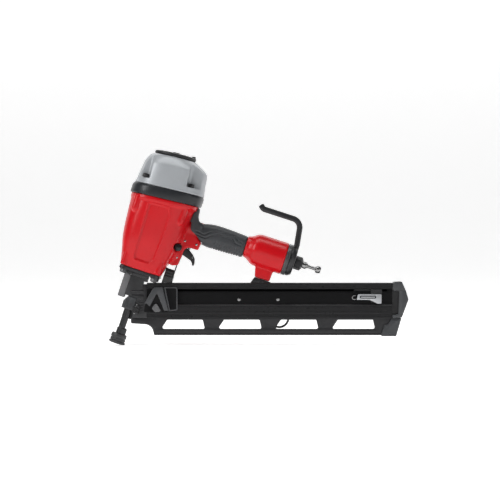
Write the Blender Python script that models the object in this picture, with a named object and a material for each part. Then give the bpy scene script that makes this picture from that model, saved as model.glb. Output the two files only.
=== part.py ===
"""Pneumatic framing nail gun: every piece a closed solid of its own, in millimetres turned to metres.

The magazine lies along X in the tool frame. The head, the handle and everything that follows the driver
blade are built in the head frame: u runs back along the handle, v is world Y and w runs up the driver
blade's axis, which leans back by HEAD_TILT. The cap and what sits on it are built in the seam frame,
which leans forward again by SEAM_TILT.
"""
import bpy
import bmesh
from math import atan2, copysign, cos, pi, radians, sin, tan
from mathutils import Matrix, Vector

# ---------------------------------------------------------------- driving dimensions (mm, degrees)
MM = 0.001
GAP = 0.3                       # clearance between neighbouring pieces
HEAD_TILT = 18.0                # lean of the driver axis from the magazine's normal
SEAM_TILT = 4.7                 # lean of the cap seam from the driver's normal
HEAD_X, HEAD_Z = -214.1, 138.5  # where the driver axis meets the underside of the housing
BASE_X, BASE_Z = -0.56, -0.53   # puts the origin on the floor under the middle of the tool
SEAM_U, SEAM_W = 2.7, 136.3     # centre of the seam on the head frame

GRIP_W = 100.65                 # height of the handle's axis above the housing's underside
BULGE_R = 29.65
BULGE_END = 244.0
BORE_R = 27.0                   # cylinder bore
BLADE_R = 3.8                   # driver blade
SLEEVE_TOP = 146.0

BOLT_NOSE = 29.0                # nose bolts sit at the corners of this half square
BOLT_CAP = 42.0                 # cap bolts likewise, about the seam centre
CAP_NOTCH = 34.0                # the cap's corners are cut back to here above the bolt heads
TRIGGER_PIVOT = (52.5, 60.4)
LEVER_PIVOT = (82.4, 50.8)
VALVE_U = 71.5

RAIL_TOP, RAIL_LOW = 115.1, 104.5       # heights of the magazine's bands, top to bottom
PANEL_LOW, BAND_LOW, BODY_LOW = 75.0, 59.5, 50.7
GUARD_LOW = 19.4
MAG_FRONT, MAG_REAR = -203.0, 245.0
WINDOW_PITCH = 104.0
WINDOW_COUNT = 4
SCREW_PLACES, SCREW_Z = (-34.6, 36.4), 84.8
PIN_PLACES = [(60.4, 75.6), (82.4, 75.6), (55.3, 42.6)]
PAD_LOW = -141.4
DEPTH_PLACE, DEPTH_W = (13.5, -18.0, 0.0), -70.2    # axis and middle of the depth wheel
FOUR_CORNERS = [(-1, -1), (-1, 1), (1, -1), (1, 1)]
WALL = 5.0                      # the casting's wall round the air space

# ---------------------------------------------------------------- looks: colour, roughness, metallic
LOOKS = {
    "red_paint": ((0.60, 0.012, 0.022), 0.35, 0.0),
    "grey_paint": ((0.42, 0.44, 0.46), 0.38, 0.2),
    "dark_rubber": ((0.045, 0.048, 0.052), 0.7, 0.0),
    "black_plastic": ((0.012, 0.012, 0.013), 0.45, 0.0),
    "grey_plastic": ((0.085, 0.088, 0.092), 0.55, 0.0),
    "guard_plastic": ((0.22, 0.22, 0.23), 0.65, 0.0),
    "black_anodised": ((0.010, 0.010, 0.011), 0.35, 0.6),
    "black_steel": ((0.020, 0.020, 0.022), 0.45, 0.7),
    "bright_steel": ((0.62, 0.62, 0.60), 0.28, 1.0),
    "bare_aluminium": ((0.55, 0.56, 0.58), 0.40, 1.0),
    "tan_rubber": ((0.30, 0.18, 0.08), 0.7, 0.0),
}


def clear_scene():
    for thing in list(bpy.data.objects):
        bpy.data.objects.remove(thing, do_unlink=True)


def look(name):
    """The named material, made on first use."""
    found = bpy.data.materials.get(name)
    if found:
        return found
    colour, roughness, metallic = LOOKS[name]
    made = bpy.data.materials.new(name)
    made.use_nodes = True
    shader = made.node_tree.nodes["Principled BSDF"]
    shader.inputs["Base Color"].default_value = (*colour, 1.0)
    shader.inputs["Roughness"].default_value = roughness
    shader.inputs["Metallic"].default_value = metallic
    return made


def frame_empty(name, place, lean, parent=None):
    """An empty that carries a tilted frame; place in mm, lean in degrees about Y."""
    empty = bpy.data.objects.new(name, None)
    bpy.context.collection.objects.link(empty)
    empty.location = [value * MM for value in place]
    empty.rotation_euler = (0.0, radians(lean), 0.0)
    empty.parent = parent
    return empty


# ---------------------------------------------------------------- outlines
def rounded(corners):
    """A closed outline from (x, y, radius) corners, each with a radius turned into an arc."""
    outline = []
    count = len(corners)
    for index, (x, y, radius) in enumerate(corners):
        here = Vector((x, y))
        if radius <= 0.0:
            outline.append((x, y))
            continue
        back = (Vector(corners[index - 1][:2]) - here).normalized()
        ahead = (Vector(corners[(index + 1) % count][:2]) - here).normalized()
        half = back.angle(ahead) / 2.0
        centre = here + (back + ahead).normalized() * (radius / sin(half))
        start = here + back * (radius / tan(half)) - centre
        end = here + ahead * (radius / tan(half)) - centre
        sweep = atan2(start.cross(end), start.dot(end))
        steps = max(1, round(abs(sweep) / radians(32)))
        for step in range(steps + 1):
            turn = Matrix.Rotation(sweep * step / steps, 2)
            point = centre + turn @ start
            outline.append((point.x, point.y))
    return outline


def smooth_path(corners, ends):
    """An open centre line through rounded corners between two end points."""
    loop = rounded([(*ends[0], 0.0), *corners, (*ends[1], 0.0)])
    return [Vector(point) for point in loop]


def thick_line(path, half):
    """The closed outline of a bar with the given half thickness about a centre line."""
    left, right = [], []
    for index, point in enumerate(path):
        ahead = path[min(index + 1, len(path) - 1)] - path[max(index - 1, 0)]
        side = Vector((-ahead.y, ahead.x)).normalized() * half
        left.append(tuple(point + side))
        right.append(tuple(point - side))
    return left + right[::-1]


def squircle(half_x, half_y, power, count=32):
    """Points of a rounded square; power 2 is an ellipse and larger powers are squarer."""
    points = []
    for i in range(count):
        angle = 2 * pi * (i + 0.5) / count
        c, s = cos(angle), sin(angle)
        points.append((half_x * copysign(abs(c) ** (2 / power), c),
                       half_y * copysign(abs(s) ** (2 / power), s)))
    return points


# ---------------------------------------------------------------- solids, each a bmesh in mm
def closed(vertices, faces):
    """A closed body with its faces pointing out."""
    body = bmesh.new()
    made = [body.verts.new(point) for point in vertices]
    for face in faces:
        body.faces.new([made[index] for index in face])
    bmesh.ops.recalc_face_normals(body, faces=body.faces)
    return body


def prism(outline, low, high):
    """A side-view outline (first axis, up) pulled across v from low to high."""
    return loft([[(x, y, z) for x, z in outline] for y in (low, high)])


def upright(outline, low, high):
    """A plan outline (first axis, v) pulled up from low to high."""
    return loft([[(x, y, z) for x, y in outline] for z in (low, high)])


def along(outline, front, rear):
    """A cross-section outline (v, up) pulled along the first axis."""
    return loft([[(x, y, z) for y, z in outline] for x in (front, rear)])


def box(low, high):
    return along([(low[1], low[2]), (high[1], low[2]), (high[1], high[2]), (low[1], high[2])],
                 low[0], high[0])


def loft(rings):
    """A closed body through rings that all have the same number of points, with flat ends."""
    count = len(rings[0])
    vertices = [point for ring in rings for point in ring]
    faces = [list(range(count)), list(range(len(vertices) - count, len(vertices)))]
    for level in range(len(rings) - 1):
        base = level * count
        for i in range(count):
            j = (i + 1) % count
            faces.append([base + i, base + j, base + count + j, base + count + i])
    return closed(vertices, faces)


def turned(profile, centre=(0.0, 0.0, 0.0), axis="w", steps=24):
    """A (radius, height) profile turned about an axis through centre: u, v or w.

    A profile with radius 0 at both ends is a solid body; otherwise it closes on itself round a bore.
    """
    solid = profile[0][0] == 0.0 and profile[-1][0] == 0.0
    vertices, starts = [], []
    for radius, height in profile:
        starts.append(len(vertices))
        for i in range(1 if radius == 0.0 else steps):
            angle = 2 * pi * (i + 0.5) / steps
            a, b = radius * cos(angle), radius * sin(angle)
            local = {"u": (height, a, b), "v": (a, height, b), "w": (a, b, height)}[axis]
            vertices.append(tuple(c + p for c, p in zip(centre, local)))
    faces = []
    for k in range(len(profile) - (1 if solid else 0)):
        n = (k + 1) % len(profile)
        for i in range(steps):
            j = (i + 1) % steps
            if profile[k][0] == 0.0:
                faces.append([starts[k], starts[n] + i, starts[n] + j])
            elif profile[n][0] == 0.0:
                faces.append([starts[k] + i, starts[k] + j, starts[n]])
            else:
                faces.append([starts[k] + i, starts[k] + j, starts[n] + j, starts[n] + i])
    return closed(vertices, faces)


def rod(radius, low, high, centre=(0.0, 0.0, 0.0), axis="w", steps=12):
    return turned([(0.0, low), (radius, low), (radius, high), (0.0, high)], centre, axis, steps)


def ring(inner, outer, low, high, centre=(0.0, 0.0, 0.0), axis="w", steps=20):
    return turned([(inner, low), (outer, low), (outer, high), (inner, high)], centre, axis, steps)


def tube_along(points, radius, sides=6):
    """A round wire through 3-D points, with flat ends."""
    rings = []
    normal = Vector((0.0, 0.0, 1.0))
    for index, point in enumerate(points):
        ahead = (points[min(index + 1, len(points) - 1)] - points[max(index - 1, 0)]).normalized()
        side = ahead.cross(normal)
        if side.length < 0.2:
            side = ahead.cross(Vector((0.0, 1.0, 0.0)))
        side.normalize()
        up = side.cross(ahead)
        angles = [2 * pi * k / sides for k in range(sides)]
        rings.append([tuple(point + radius * (side * cos(a) + up * sin(a))) for a in angles])
    return loft(rings)


def coil(radius, wire, low, high, turns, centre=(0.0, 0.0), per_turn=12):
    """A helical spring about a w axis."""
    points = []
    for i in range(turns * per_turn + 1):
        angle = 2 * pi * i / per_turn
        height = low + wire + (high - low - 2 * wire) * i / (turns * per_turn)
        points.append(Vector((centre[0] + radius * cos(angle), centre[1] + radius * sin(angle), height)))
    return tube_along(points, wire, 4)


def hex_head(across, low, high, centre, axis="w"):
    """A hexagonal head with a chamfered outer end."""
    corner = across / 2 / cos(pi / 6)
    chamfer = 0.12 * across
    profile = [(0.0, low), (corner - chamfer / 2, low), (corner, low + chamfer / 2),
               (corner, high), (0.0, high)]
    return turned(profile, centre, axis, 6)


# ---------------------------------------------------------------- objects
def add(name, body, look_name, frame, origin=(0.0, 0.0, 0.0), bevel=0.0, guide=False, round_piece=True):
    """Turn a bmesh in mm into a named object whose origin is the given point of its frame."""
    for vertex in body.verts:
        vertex.co = (vertex.co - Vector(origin)) * MM
    mesh = bpy.data.meshes.new(name)
    body.to_mesh(mesh)
    body.free()
    piece = bpy.data.objects.new(name, mesh)
    bpy.context.collection.objects.link(piece)
    piece.parent = frame
    piece.location = Vector(origin) * MM
    if look_name:
        mesh.materials.append(look(look_name))
    if round_piece:
        mesh.shade_smooth()
        mesh.set_sharp_from_angle(angle=radians(32))
    if bevel:
        edge = piece.modifiers.new("edge", "BEVEL")
        edge.width = bevel * MM
        edge.segments = 1
        edge.limit_method = "ANGLE"
        edge.angle_limit = radians(40)
    if guide:
        piece.hide_render = True
        piece.display_type = "WIRE"
    return piece


def combine(piece, body, operation, frame, bevel=0.0):
    """Cut a body from a piece, or join it on, with a Boolean modifier."""
    tool = add(f"{piece.name}_{operation.lower()}_{len(piece.modifiers)}", body, None, frame,
               bevel=bevel, guide=True)
    step = piece.modifiers.new(operation.lower(), "BOOLEAN")
    step.operation = operation
    step.object = tool
    return piece


def cut(piece, body, frame):
    return combine(piece, body, "DIFFERENCE", frame)


def join(piece, body, frame, bevel=0.0):
    return combine(piece, body, "UNION", frame, bevel)


def magazine_height(u):
    """Head-frame height of the magazine's top face at a place along the handle."""
    return (RAIL_TOP - HEAD_Z + u * sin(radians(HEAD_TILT))) / cos(radians(HEAD_TILT))


# ---------------------------------------------------------------- housing and grip
# Barrel sections: height, centre u, half length, half width, squareness, share of the seam's lean.
BARREL = [(GAP, 0.5, 38.0, 38.0, 5.0, 0.0), (9.0, 0.0, 40.5, 40.0, 4.6, 0.0),
          (25.0, 0.0, 44.4, 43.5, 3.9, 0.0),
          (58.0, 0.4, 52.6, 50.5, 3.2, 0.1), (95.0, 0.8, 56.8, 54.0, 2.9, 0.4),
          (123.0, 1.3, 59.3, 56.2, 2.7, 0.9),
          (129.0, 2.7, 62.5, 58.5, 2.7, 1.0), (SEAM_W - GAP, 2.7, 62.5, 58.5, 2.7, 1.0)]


# Heights of the reservoir's sections with the furthest back that each may reach.
RESERVOIR = [(25.0, 39.5), (58.0, 39.5), (74.0, 39.5), (86.0, 60.0), (95.0, 60.0), (118.0, 60.0)]


def barrel(swell=0.0):
    """The tapering barrel; swell makes a cutter that clears it."""
    rings = []
    for height, centre, half_u, half_v, power, lean in BARREL:
        rise = tan(radians(SEAM_TILT)) * lean
        ring_points = squircle(half_u + swell, half_v + swell, power)
        rings.append([(centre + x, y, height + rise * (centre + x - SEAM_U)) for x, y in ring_points])
    return loft(rings)


def barrel_row(height):
    """The barrel's section at any height, between two rows of its table."""
    for low, high in zip(BARREL, BARREL[1:]):
        if height <= high[0]:
            share = (height - low[0]) / (high[0] - low[0])
            return [a + (b - a) * share for a, b in zip(low, high)]
    return BARREL[-1]


def reservoir():
    """The air space round the cylinder, which steps back over the trigger's slot."""
    rings = []
    for height, furthest in RESERVOIR:
        _, centre, half_u, half_v, power, _ = barrel_row(height)
        section = squircle(half_u - WALL, half_v - WALL, power)
        rings.append([(min(centre + x, furthest), y, height) for x, y in section])
    return loft(rings)


def root_outline(swell=0.0):
    """Side view of the casting's root below the grip: the wedge that carries the trigger ears."""
    return [(30.0, 70.0), (30.0, 112.0 + swell), (61.0, 112.0 + swell), (63.5 + swell, 99.0),
            (67.5, 95.8 + swell),
            (78.5, 90.0 + swell), (90.2 + swell, 81.5 + swell), (90.2 + swell, 66.0), (70.0, 66.0)]


def ears_outline():
    return rounded([(36.0, 104.0, 0), (64.0, 97.6, 3), (68.0, 95.3, 2), (78.7, 89.6, 4), (90.0, 81.0, 2),
                    (87.8, 66.4, 2), (69.5, 65.9, 4), (64.4, 60.4, 6), (61.3, 29.3, 3), (52.0, 25.3, 4),
                    (44.0, 26.6, 2), (36.0, 45.0, 0)])


def grip_core(swell=0.0):
    """The casting's tube through the grip, an oval that the rubber sleeve slides over."""
    section = squircle(14.0 + swell, 16.0 + swell, 2.3, 24)
    return loft([[(u, y, GRIP_W + z) for y, z in section] for u in (40.0, 181.0)])


def build_housing(head):
    housing = add("housing", barrel(), "red_paint", head)
    join(housing, prism(ears_outline(), -12.5, 12.5), head, bevel=1.2)
    join(housing, grip_core(), head)
    flare = [(0.0, 168.4), (19.4, 168.4), (20.2, 173.0), (23.2, 178.5), (27.4, 184.5), (29.2, 189.0),
             (BULGE_R, 193.0), (BULGE_R, BULGE_END), (0.0, BULGE_END)]
    join(housing, turned(flare, (0, 0, GRIP_W), "u", 32), head)
    join(housing, prism([(196.0, 78.0), (201.6, 52.2), (229.6, 52.2), (231.0, 78.0)], -10.0, 10.0), head,
         bevel=1.5)
    cut(housing, turned([(0, -5), (20, -5), (20, 8), (34, 8), (34, 74), (46, 86), (46, 160), (0, 160)],
                        steps=20), head)
    cut(housing, reservoir(), head)
    cut(housing, rod(11.5, 36, 190, (0, 0, GRIP_W), "u", 12), head)
    cut(housing, rod(25.0, 188, 260, (0, 0, GRIP_W), "u", 16), head)
    cut(housing, box((43.8, -8.2, 20.0), (100.0, 8.2, 70.0)), head)
    cut(housing, rod(8.2, -60.0, -12.9, (TRIGGER_PIVOT[0], 0, TRIGGER_PIVOT[1]), "v", 20), head)
    cut(housing, rod(8.5, 60.0, GRIP_W, (VALVE_U, 0, 0), steps=20), head)
    cut(housing, rod(2.8, -30, 30, (TRIGGER_PIVOT[0], 0, TRIGGER_PIVOT[1]), "v", 16), head)
    for u, w in PIN_PLACES:
        cut(housing, rod(1.6 + GAP / 2, -30, 30, (u, 0, w), "v", 12), head)
    for i, j in FOUR_CORNERS:
        cut(housing, rod(4.1, -5, 21, (BOLT_NOSE * i, BOLT_NOSE * j, 0), steps=8), head)
    return housing


def seam_hole(piece, seam, radius, low, high):
    """The four bolt holes that run through the cap, the ring and the barrel's rim."""
    for i, j in FOUR_CORNERS:
        cut(piece, rod(radius, low, high, (BOLT_CAP * i, BOLT_CAP * j, 0), steps=8), seam)


# Grip sections: u, lowest w, highest w, half width.
GRIP = [(60.5, 80.0, 122.5, 19.5), (66.0, 79.5, 118.5, 19.0), (73.0, 79.3, 116.3, 18.6),
        (80.0, 78.9, 116.2, 18.4),
        (90.0, 78.2, 118.0, 18.4), (102.0, 76.9, 120.2, 18.6), (115.0, 76.7, 121.0, 18.8),
        (130.0, 77.0, 120.8, 18.6), (148.0, 77.8, 120.0, 18.2), (160.0, 78.3, 119.3, 18.2),
        (166.0, 78.9, 118.6, 18.0),
        (168.0, 79.8, 117.8, 17.2)]


def build_grip(head):
    rings = []
    for u, low, high, half in GRIP:
        rings.append([(u, y, (low + high) / 2 + z) for y, z in squircle(half, (high - low) / 2, 2.5, 24)])
    grip = add("grip_sleeve", loft(rings), "dark_rubber", head)
    neck = rounded([(50.0, 139.5, 0), (68.3, 141.0, 0), (70.2, 124.0, 8), (74.5, 116.9, 4),
                    (84.0, 115.0, 0),
                    (84.0, 96.0, 0), (50.0, 96.0, 0)])
    join(grip, prism(neck, -19.0, 19.0), head, bevel=3.0)
    cut(grip, barrel(GAP), head)
    cut(grip, prism(root_outline(GAP), -30.0, 30.0), head)
    cut(grip, grip_core(GAP), head)
    return grip


# ---------------------------------------------------------------- cap group, in the seam frame
# Cap sections: height, centre u, half length, half width, squareness.
CAP = [(19.5, 3.3, 64.4, 59.5, 2.6), (24.0, 3.6, 63.6, 59.0, 2.6), (40.0, 4.4, 61.4, 57.4, 2.6),
       (59.5, 5.6, 58.8, 55.0, 2.6), (66.0, 3.8, 54.8, 51.6, 2.5), (71.5, 1.3, 49.0, 47.5, 2.4),
       (76.0, -0.6, 44.0, 43.5, 2.2), (78.3, -0.6, 40.2, 40.2, 2.1)]


def build_cap_group(head, seam, housing):
    ring_body = loft([[(cu + x, y, z) for x, y in squircle(hu, hv, 2.6)]
                      for z, cu, hu, hv in [(0.0, 0.6, 65.2, 60.0), (1.5, 0.6, 66.4, 61.0),
                                            (14.5, 1.8, 66.6, 61.2), (19.2, 2.6, 64.6, 59.6)]])
    ring_piece = add("head_ring", ring_body, "dark_rubber", seam)
    cap_body = loft([[(cu + x, y, z) for x, y in squircle(hu, hv, power)] for z, cu, hu, hv,
                     power in CAP])
    cap = add("cylinder_cap", cap_body, "grey_paint", seam)
    cavity = [(0, 100), (46, 100), (46, 160), (43, 174), (34, 180), (34, 192), (0, 192)]
    cut(ring_piece, turned(cavity, steps=20), head)
    cut(cap, turned(cavity, steps=20), head)
    for i, j in FOUR_CORNERS:
        notch = rounded([(CAP_NOTCH * i, CAP_NOTCH * j, 7), (90.0 * i, CAP_NOTCH * j, 0),
                         (90.0 * i, 90.0 * j, 0), (CAP_NOTCH * i, 90.0 * j, 0)])
        cut(cap, upright(notch, 30.5, 120.0), seam)
    for turn in range(3):
        angle = 2 * pi * turn / 3
        cut(cap, rod(5.0, 45.0, 90.0, (20.0 * cos(angle), 20.0 * sin(angle), 0)), seam)
    cut(cap, rod(3.7, 62.0, 90.0), seam)
    for piece in (ring_piece, cap):
        seam_hole(piece, seam, 3.3, -5.0, 40.0)
    seam_hole(housing, seam, 3.3, -14.0, 5.0)

    profile = [(0.0, -12.0), (3.0, -12.0), (3.0, 30.8), (5.5, 30.8), (5.5, 37.0), (5.0, 37.6),
               (2.6, 37.6),
               (2.6, 34.5), (0.0, 34.5)]
    for number, (i, j) in enumerate(FOUR_CORNERS, 1):
        place = (BOLT_CAP * i, BOLT_CAP * j, 0)
        add(f"cap_bolt_{number}", turned(profile, place, steps=12), "black_steel", seam)

    profile = [(4.2, 78.6), (9.0, 78.6), (10.0, 82.0), (29.0, 82.0), (31.0, 78.6), (37.6, 79.4),
               (38.6, 81.0),
               (38.6, 83.4), (36.8, 85.2), (30.0, 86.2), (12.0, 87.0), (8.5, 85.0), (4.2, 85.0)]
    deflector = add("exhaust_deflector", turned(profile, steps=28), "black_plastic", seam)
    cut(deflector, box((14.0, -11.0, 77.0), (60.0, 11.0, 83.6)), seam)
    profile = [(0.0, 64.0), (3.4, 64.0), (3.4, 85.3), (6.4, 85.3), (6.4, 88.0), (5.8, 88.6), (2.6, 88.6),
               (2.6, 86.2), (0.0, 86.2)]
    add("deflector_bolt", turned(profile, steps=16), "black_steel", seam)


# ---------------------------------------------------------------- motor parts on the driver axis
def build_motor(head):
    sleeve = [(BORE_R, 8.6), (33.4, 8.6), (33.4, 14.0), (30.0, 16.0), (30.0, 138.0), (33.0, 140.0),
              (33.0, SLEEVE_TOP), (BORE_R, SLEEVE_TOP)]
    add("cylinder_sleeve", turned(sleeve, steps=20), "bare_aluminium", head)
    bumper = [(6.0, 8.6), (26.6, 8.6), (26.6, 18.0), (22.0, 22.0), (9.0, 22.0), (6.0, 18.0)]
    add("piston_bumper", turned(bumper, steps=20), "dark_rubber", head)
    low = 130.0
    piston = [(0.0, -22.0), (BLADE_R, -22.0), (BLADE_R, low - 3), (10.0, low), (26.6, low),
              (26.6, low + 5),
              (24.6, low + 5), (24.6, low + 8), (26.6, low + 8), (26.6, low + 14), (12.0, low + 14),
              (8.0, low + 9), (0.0, low + 9)]
    add("piston_driver", turned(piston, steps=20), "bright_steel", head)
    valve = [(12.0, 150.0), (24.0, 147.0), (33.0, 147.0), (40.0, 150.0), (40.0, 158.0), (33.0, 162.0),
             (31.0, 169.0), (27.0, 169.0), (25.0, 158.0), (12.0, 158.0)]
    add("head_valve", turned(valve, steps=20), "black_plastic", head)
    add("head_valve_spring", coil(19.0, 1.3, 158.6, 191.4, 3), "bright_steel", head)


# ---------------------------------------------------------------- nose
def build_nose(tool, head):
    plate = rounded([(-37.5, -37.5, 7), (37.5, -37.5, 7), (37.5, 37.5, 7), (-37.5, 37.5, 7)])
    nose = add("nose_casting", upright(plate, -5.5, 0.0), "black_steel", head)
    join(nose, rod(19.6, -1.0, 8.2, steps=32), head)
    join(nose, box((-13.4, -12.0, -51.0), (12.0, 12.0, -5.0)), head, bevel=1.0)
    adapter = [(HEAD_X - 5.0, 112.5), (MAG_FRONT - GAP, 112.5), (MAG_FRONT - GAP, 51.2), (-226.0, 51.2)]
    join(nose, prism(adapter, -11.8, 11.8), tool, bevel=1.0)
    cut(nose, box((-20.0, -20.0, -95.0), (9.4, 20.0, -51.0)), head)
    join(nose, rod(5.8, -108.0, -50.0, steps=20), head)
    join(nose, box((10.0, -12.0, -18.0), (18.0, 12.0, -5.0)), head)
    join(nose, box((-24.0, -10.0, -12.5), (-12.0, 10.0, -5.0)), head)
    for low in (DEPTH_W + 4.2, DEPTH_W - 7.3):
        join(nose, box((9.6, -23.5, low), (19.0, -11.0, low + 3.0)), head)
    cut(nose, rod(4.3, -130.0, 20.0, steps=16), head)
    channel = [(HEAD_X, 106.0), (MAG_FRONT + 5, 106.0), (MAG_FRONT + 5, 45.0), (-238.0, 45.0)]
    cut(nose, prism(channel, -3.2, 3.2), tool)
    cut(nose, box((0.0, -3.2, -130.0), (30.0, 3.2, -50.0)), head)
    cut(nose, rod(1.8, DEPTH_W - 15.0, DEPTH_W + 15.0, DEPTH_PLACE, steps=12), head)
    cut(nose, box((-20.0, -9.2, -57.0), (-13.0, 9.2, -12.0)), head)
    for number, (i, j) in enumerate(FOUR_CORNERS, 1):
        place = (BOLT_NOSE * i, BOLT_NOSE * j, 0)
        cut(nose, rod(4.1, -10, 5, place, steps=8), head)
        bolt = add(f"nose_bolt_{number}", hex_head(12.0, -13.6, -5.8, place), "bright_steel", head)
        join(bolt, rod(3.8, -8.0, 18.0, place, steps=8), head)

    guard = rounded([(-26.5, -56.7, 1.5), (-26.5, -12.8, 2), (-13.8, -12.8, 5), (-13.8, -56.7, 1.0)])
    add("nose_guard", prism(guard, -11.0, 11.0), "guard_plastic", head, bevel=0.8)

    guide = rounded([(-13.0, -75.0, 1), (-13.0, -62.0, 2), (-7.0, -51.3, 4), (9.0, -51.3, 1),
                     (9.0, -75.0, 1)])
    guide_piece = add("shank_guide", prism(guide, -12.0, 12.0), "black_steel", head)
    cut(guide_piece, rod(8.2, -80.0, -45.0, steps=24), head)
    cut(guide_piece, box((0.0, -8.2, -80.0), (20.0, 8.2, -45.0)), head)

    screw = rod(1.5, DEPTH_W - 9.3, DEPTH_W + 8.7, DEPTH_PLACE, steps=12)
    add("depth_screw", screw, "bright_steel", head)
    profile = [(1.8, -3.9), (5.6, -3.9), (6.2, -3.2), (6.2, 3.1), (5.6, 3.8), (1.8, 3.8)]
    wheel = turned([(radius, DEPTH_W + height) for radius, height in profile], DEPTH_PLACE, steps=18)
    add("depth_wheel", wheel, "black_plastic", head, origin=(DEPTH_PLACE[0], DEPTH_PLACE[1], DEPTH_W))


def build_contact(head):
    """The work contact: shank, foot pad and the arm that reaches the trigger."""
    shank = add("contact_shank", rod(7.6, -122.6, -76.0, steps=24), "black_steel", head)
    join(shank, rod(9.2, -122.6, -111.6, steps=24), head)
    cut(shank, rod(6.1, -130.0, -60.0, steps=20), head)
    cut(shank, box((0.0, -6.1, -111.0), (20.0, 6.1, -60.0)), head)

    pad = [(6.6, PAD_LOW), (13.0, PAD_LOW), (15.4, PAD_LOW + 3.0), (13.4, PAD_LOW + 5.6),
           (14.4, PAD_LOW + 8.0),
           (13.2, PAD_LOW + 10.6), (14.4, PAD_LOW + 14.0), (13.6, -122.9), (6.6, -122.9)]
    add("no_mar_pad", turned(pad, (-1.6, 0, 0), steps=24), "dark_rubber", head)

    strap = rounded([(-9.0, -93.0, 2), (-9.0, -50.0, 2), (44.0, -50.0, 8), (50.0, 7.0, 3), (60.5, 7.0, 0),
                     (60.5, -52.0, 8), (12.0, -62.0, 4), (9.0, -93.0, 2)])
    arm = add("contact_arm", prism(strap, 17.3, 19.8), "black_steel", head)
    join(arm, box((58.4, -4.0, -3.0), (60.4, 18.5, 6.5)), head)
    join(arm, box((58.4, -4.0, -3.0), (60.4, 4.0, 46.0)), head)
    join(arm, box((-6.5, 7.9, -92.6), (6.5, 18.5, -90.0)), head)


def build_contact_hardware(head):
    spring = coil(3.4, 0.6, -48.9, -6.0, 6, (0.0, 18.5), 8)
    add("contact_spring", spring, "bright_steel", head)
    strut = [(43.0, -12.0), (59.5, -12.0), (59.5, -9.5), (45.6, -9.5), (45.6, 12.0), (43.0, 12.0)]
    guide = add("arm_guide", upright(strut, -14.0, 18.7), "black_plastic", head)
    cut(guide, prism([(30.0, magazine_height(30.0) + GAP), (80.0, magazine_height(80.0) + GAP),
                      (80.0, -60.0),
                      (30.0, -60.0)], -40.0, 40.0), head)


# ---------------------------------------------------------------- trigger group
def build_trigger(head):
    pu, pw = TRIGGER_PIVOT
    outline = rounded([(46.2, 55.0, 5), (46.2, 66.4, 5), (60.0, 66.8, 3), (68.0, 63.8, 4),
                       (75.5, 60.0, 4),
                       (82.5, 55.0, 5), (87.4, 49.0, 5), (89.2, 42.0, 4), (89.0, 36.6, 0.8),
                       (86.0, 37.0, 0.8),
                       (84.6, 41.0, 4), (80.5, 44.6, 4), (73.2, 46.7, 4), (65.9, 49.0, 3),
                       (60.0, 51.0, 3),
                       (52.0, 53.6, 0)])
    trigger = add("trigger", prism(outline, -7.6, 7.6), "black_plastic", head, origin=(pu, 0, pw),
                  bevel=0.8)
    cut(trigger, box((40.0, -4.6, 40.0), (66.5, 4.6, 75.0)), head)
    cut(trigger, prism([(66.0, 75.0), (66.0, 53.0), (74.0, 50.6), (84.8, 47.6), (88.0, 50.0),
                        (88.0, 75.0)],
                       -4.6, 4.6), head)
    cut(trigger, rod(2.8, -20, 20, (pu, 0, pw), "v", 16), head)
    cut(trigger, rod(1.6, -20, 20, (LEVER_PIVOT[0], 0, LEVER_PIVOT[1]), "v", 12), head)

    lever = rounded([(57.5, 57.5, 0.8), (57.5, 60.3, 1.2), (71.0, 57.2, 0), (84.6, 53.4, 2),
                     (85.0, 48.6, 1.2),
                     (80.6, 49.4, 2), (66.0, 56.0, 3)])
    lever_piece = add("trigger_lever", prism(lever, -3.6, 3.6), "bright_steel", head,
                      origin=(LEVER_PIVOT[0], 0, LEVER_PIVOT[1]))
    cut(lever_piece, rod(1.6, -20, 20, (LEVER_PIVOT[0], 0, LEVER_PIVOT[1]), "v", 12), head)
    add("lever_pin", rod(1.3, -7.9, 7.9, (LEVER_PIVOT[0], 0, LEVER_PIVOT[1]), "v", 12), "bright_steel",
        head)

    knob = [(0.0, -20.5), (5.6, -20.5), (6.8, -19.3), (6.8, -13.2), (2.5, -13.2), (2.5, 14.6),
            (0.0, 14.6)]
    add("selector_knob", turned(knob, (pu, 0, pw), "v", 24), "black_plastic", head, origin=(pu, 0, pw))
    for number, (u, w) in enumerate(PIN_PLACES, 1):
        add(f"bracket_pin_{number}", rod(1.45, -12.3, 12.3, (u, 0, w), "v", 10), "bright_steel", head)

    body = [(3.0, 67.0), (8.2, 67.0), (8.2, 92.0), (1.5, 92.0), (1.5, 90.0), (5.4, 90.0), (5.4, 72.0),
            (3.0, 72.0)]
    add("valve_body", turned(body, (VALVE_U, 0, 0), steps=20), "black_plastic", head)
    stem = [(0.0, 61.6), (2.0, 61.6), (2.6, 62.4), (2.6, 72.3), (4.9, 72.3), (4.9, 75.0), (1.8, 75.0),
            (1.8, 80.0), (0.0, 80.0)]
    add("valve_stem", turned(stem, (VALVE_U, 0, 0), steps=16), "bright_steel", head)
    add("valve_spring", coil(3.7, 0.5, 75.4, 89.6, 4, (VALVE_U, 0), 8), "bright_steel", head)


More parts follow.
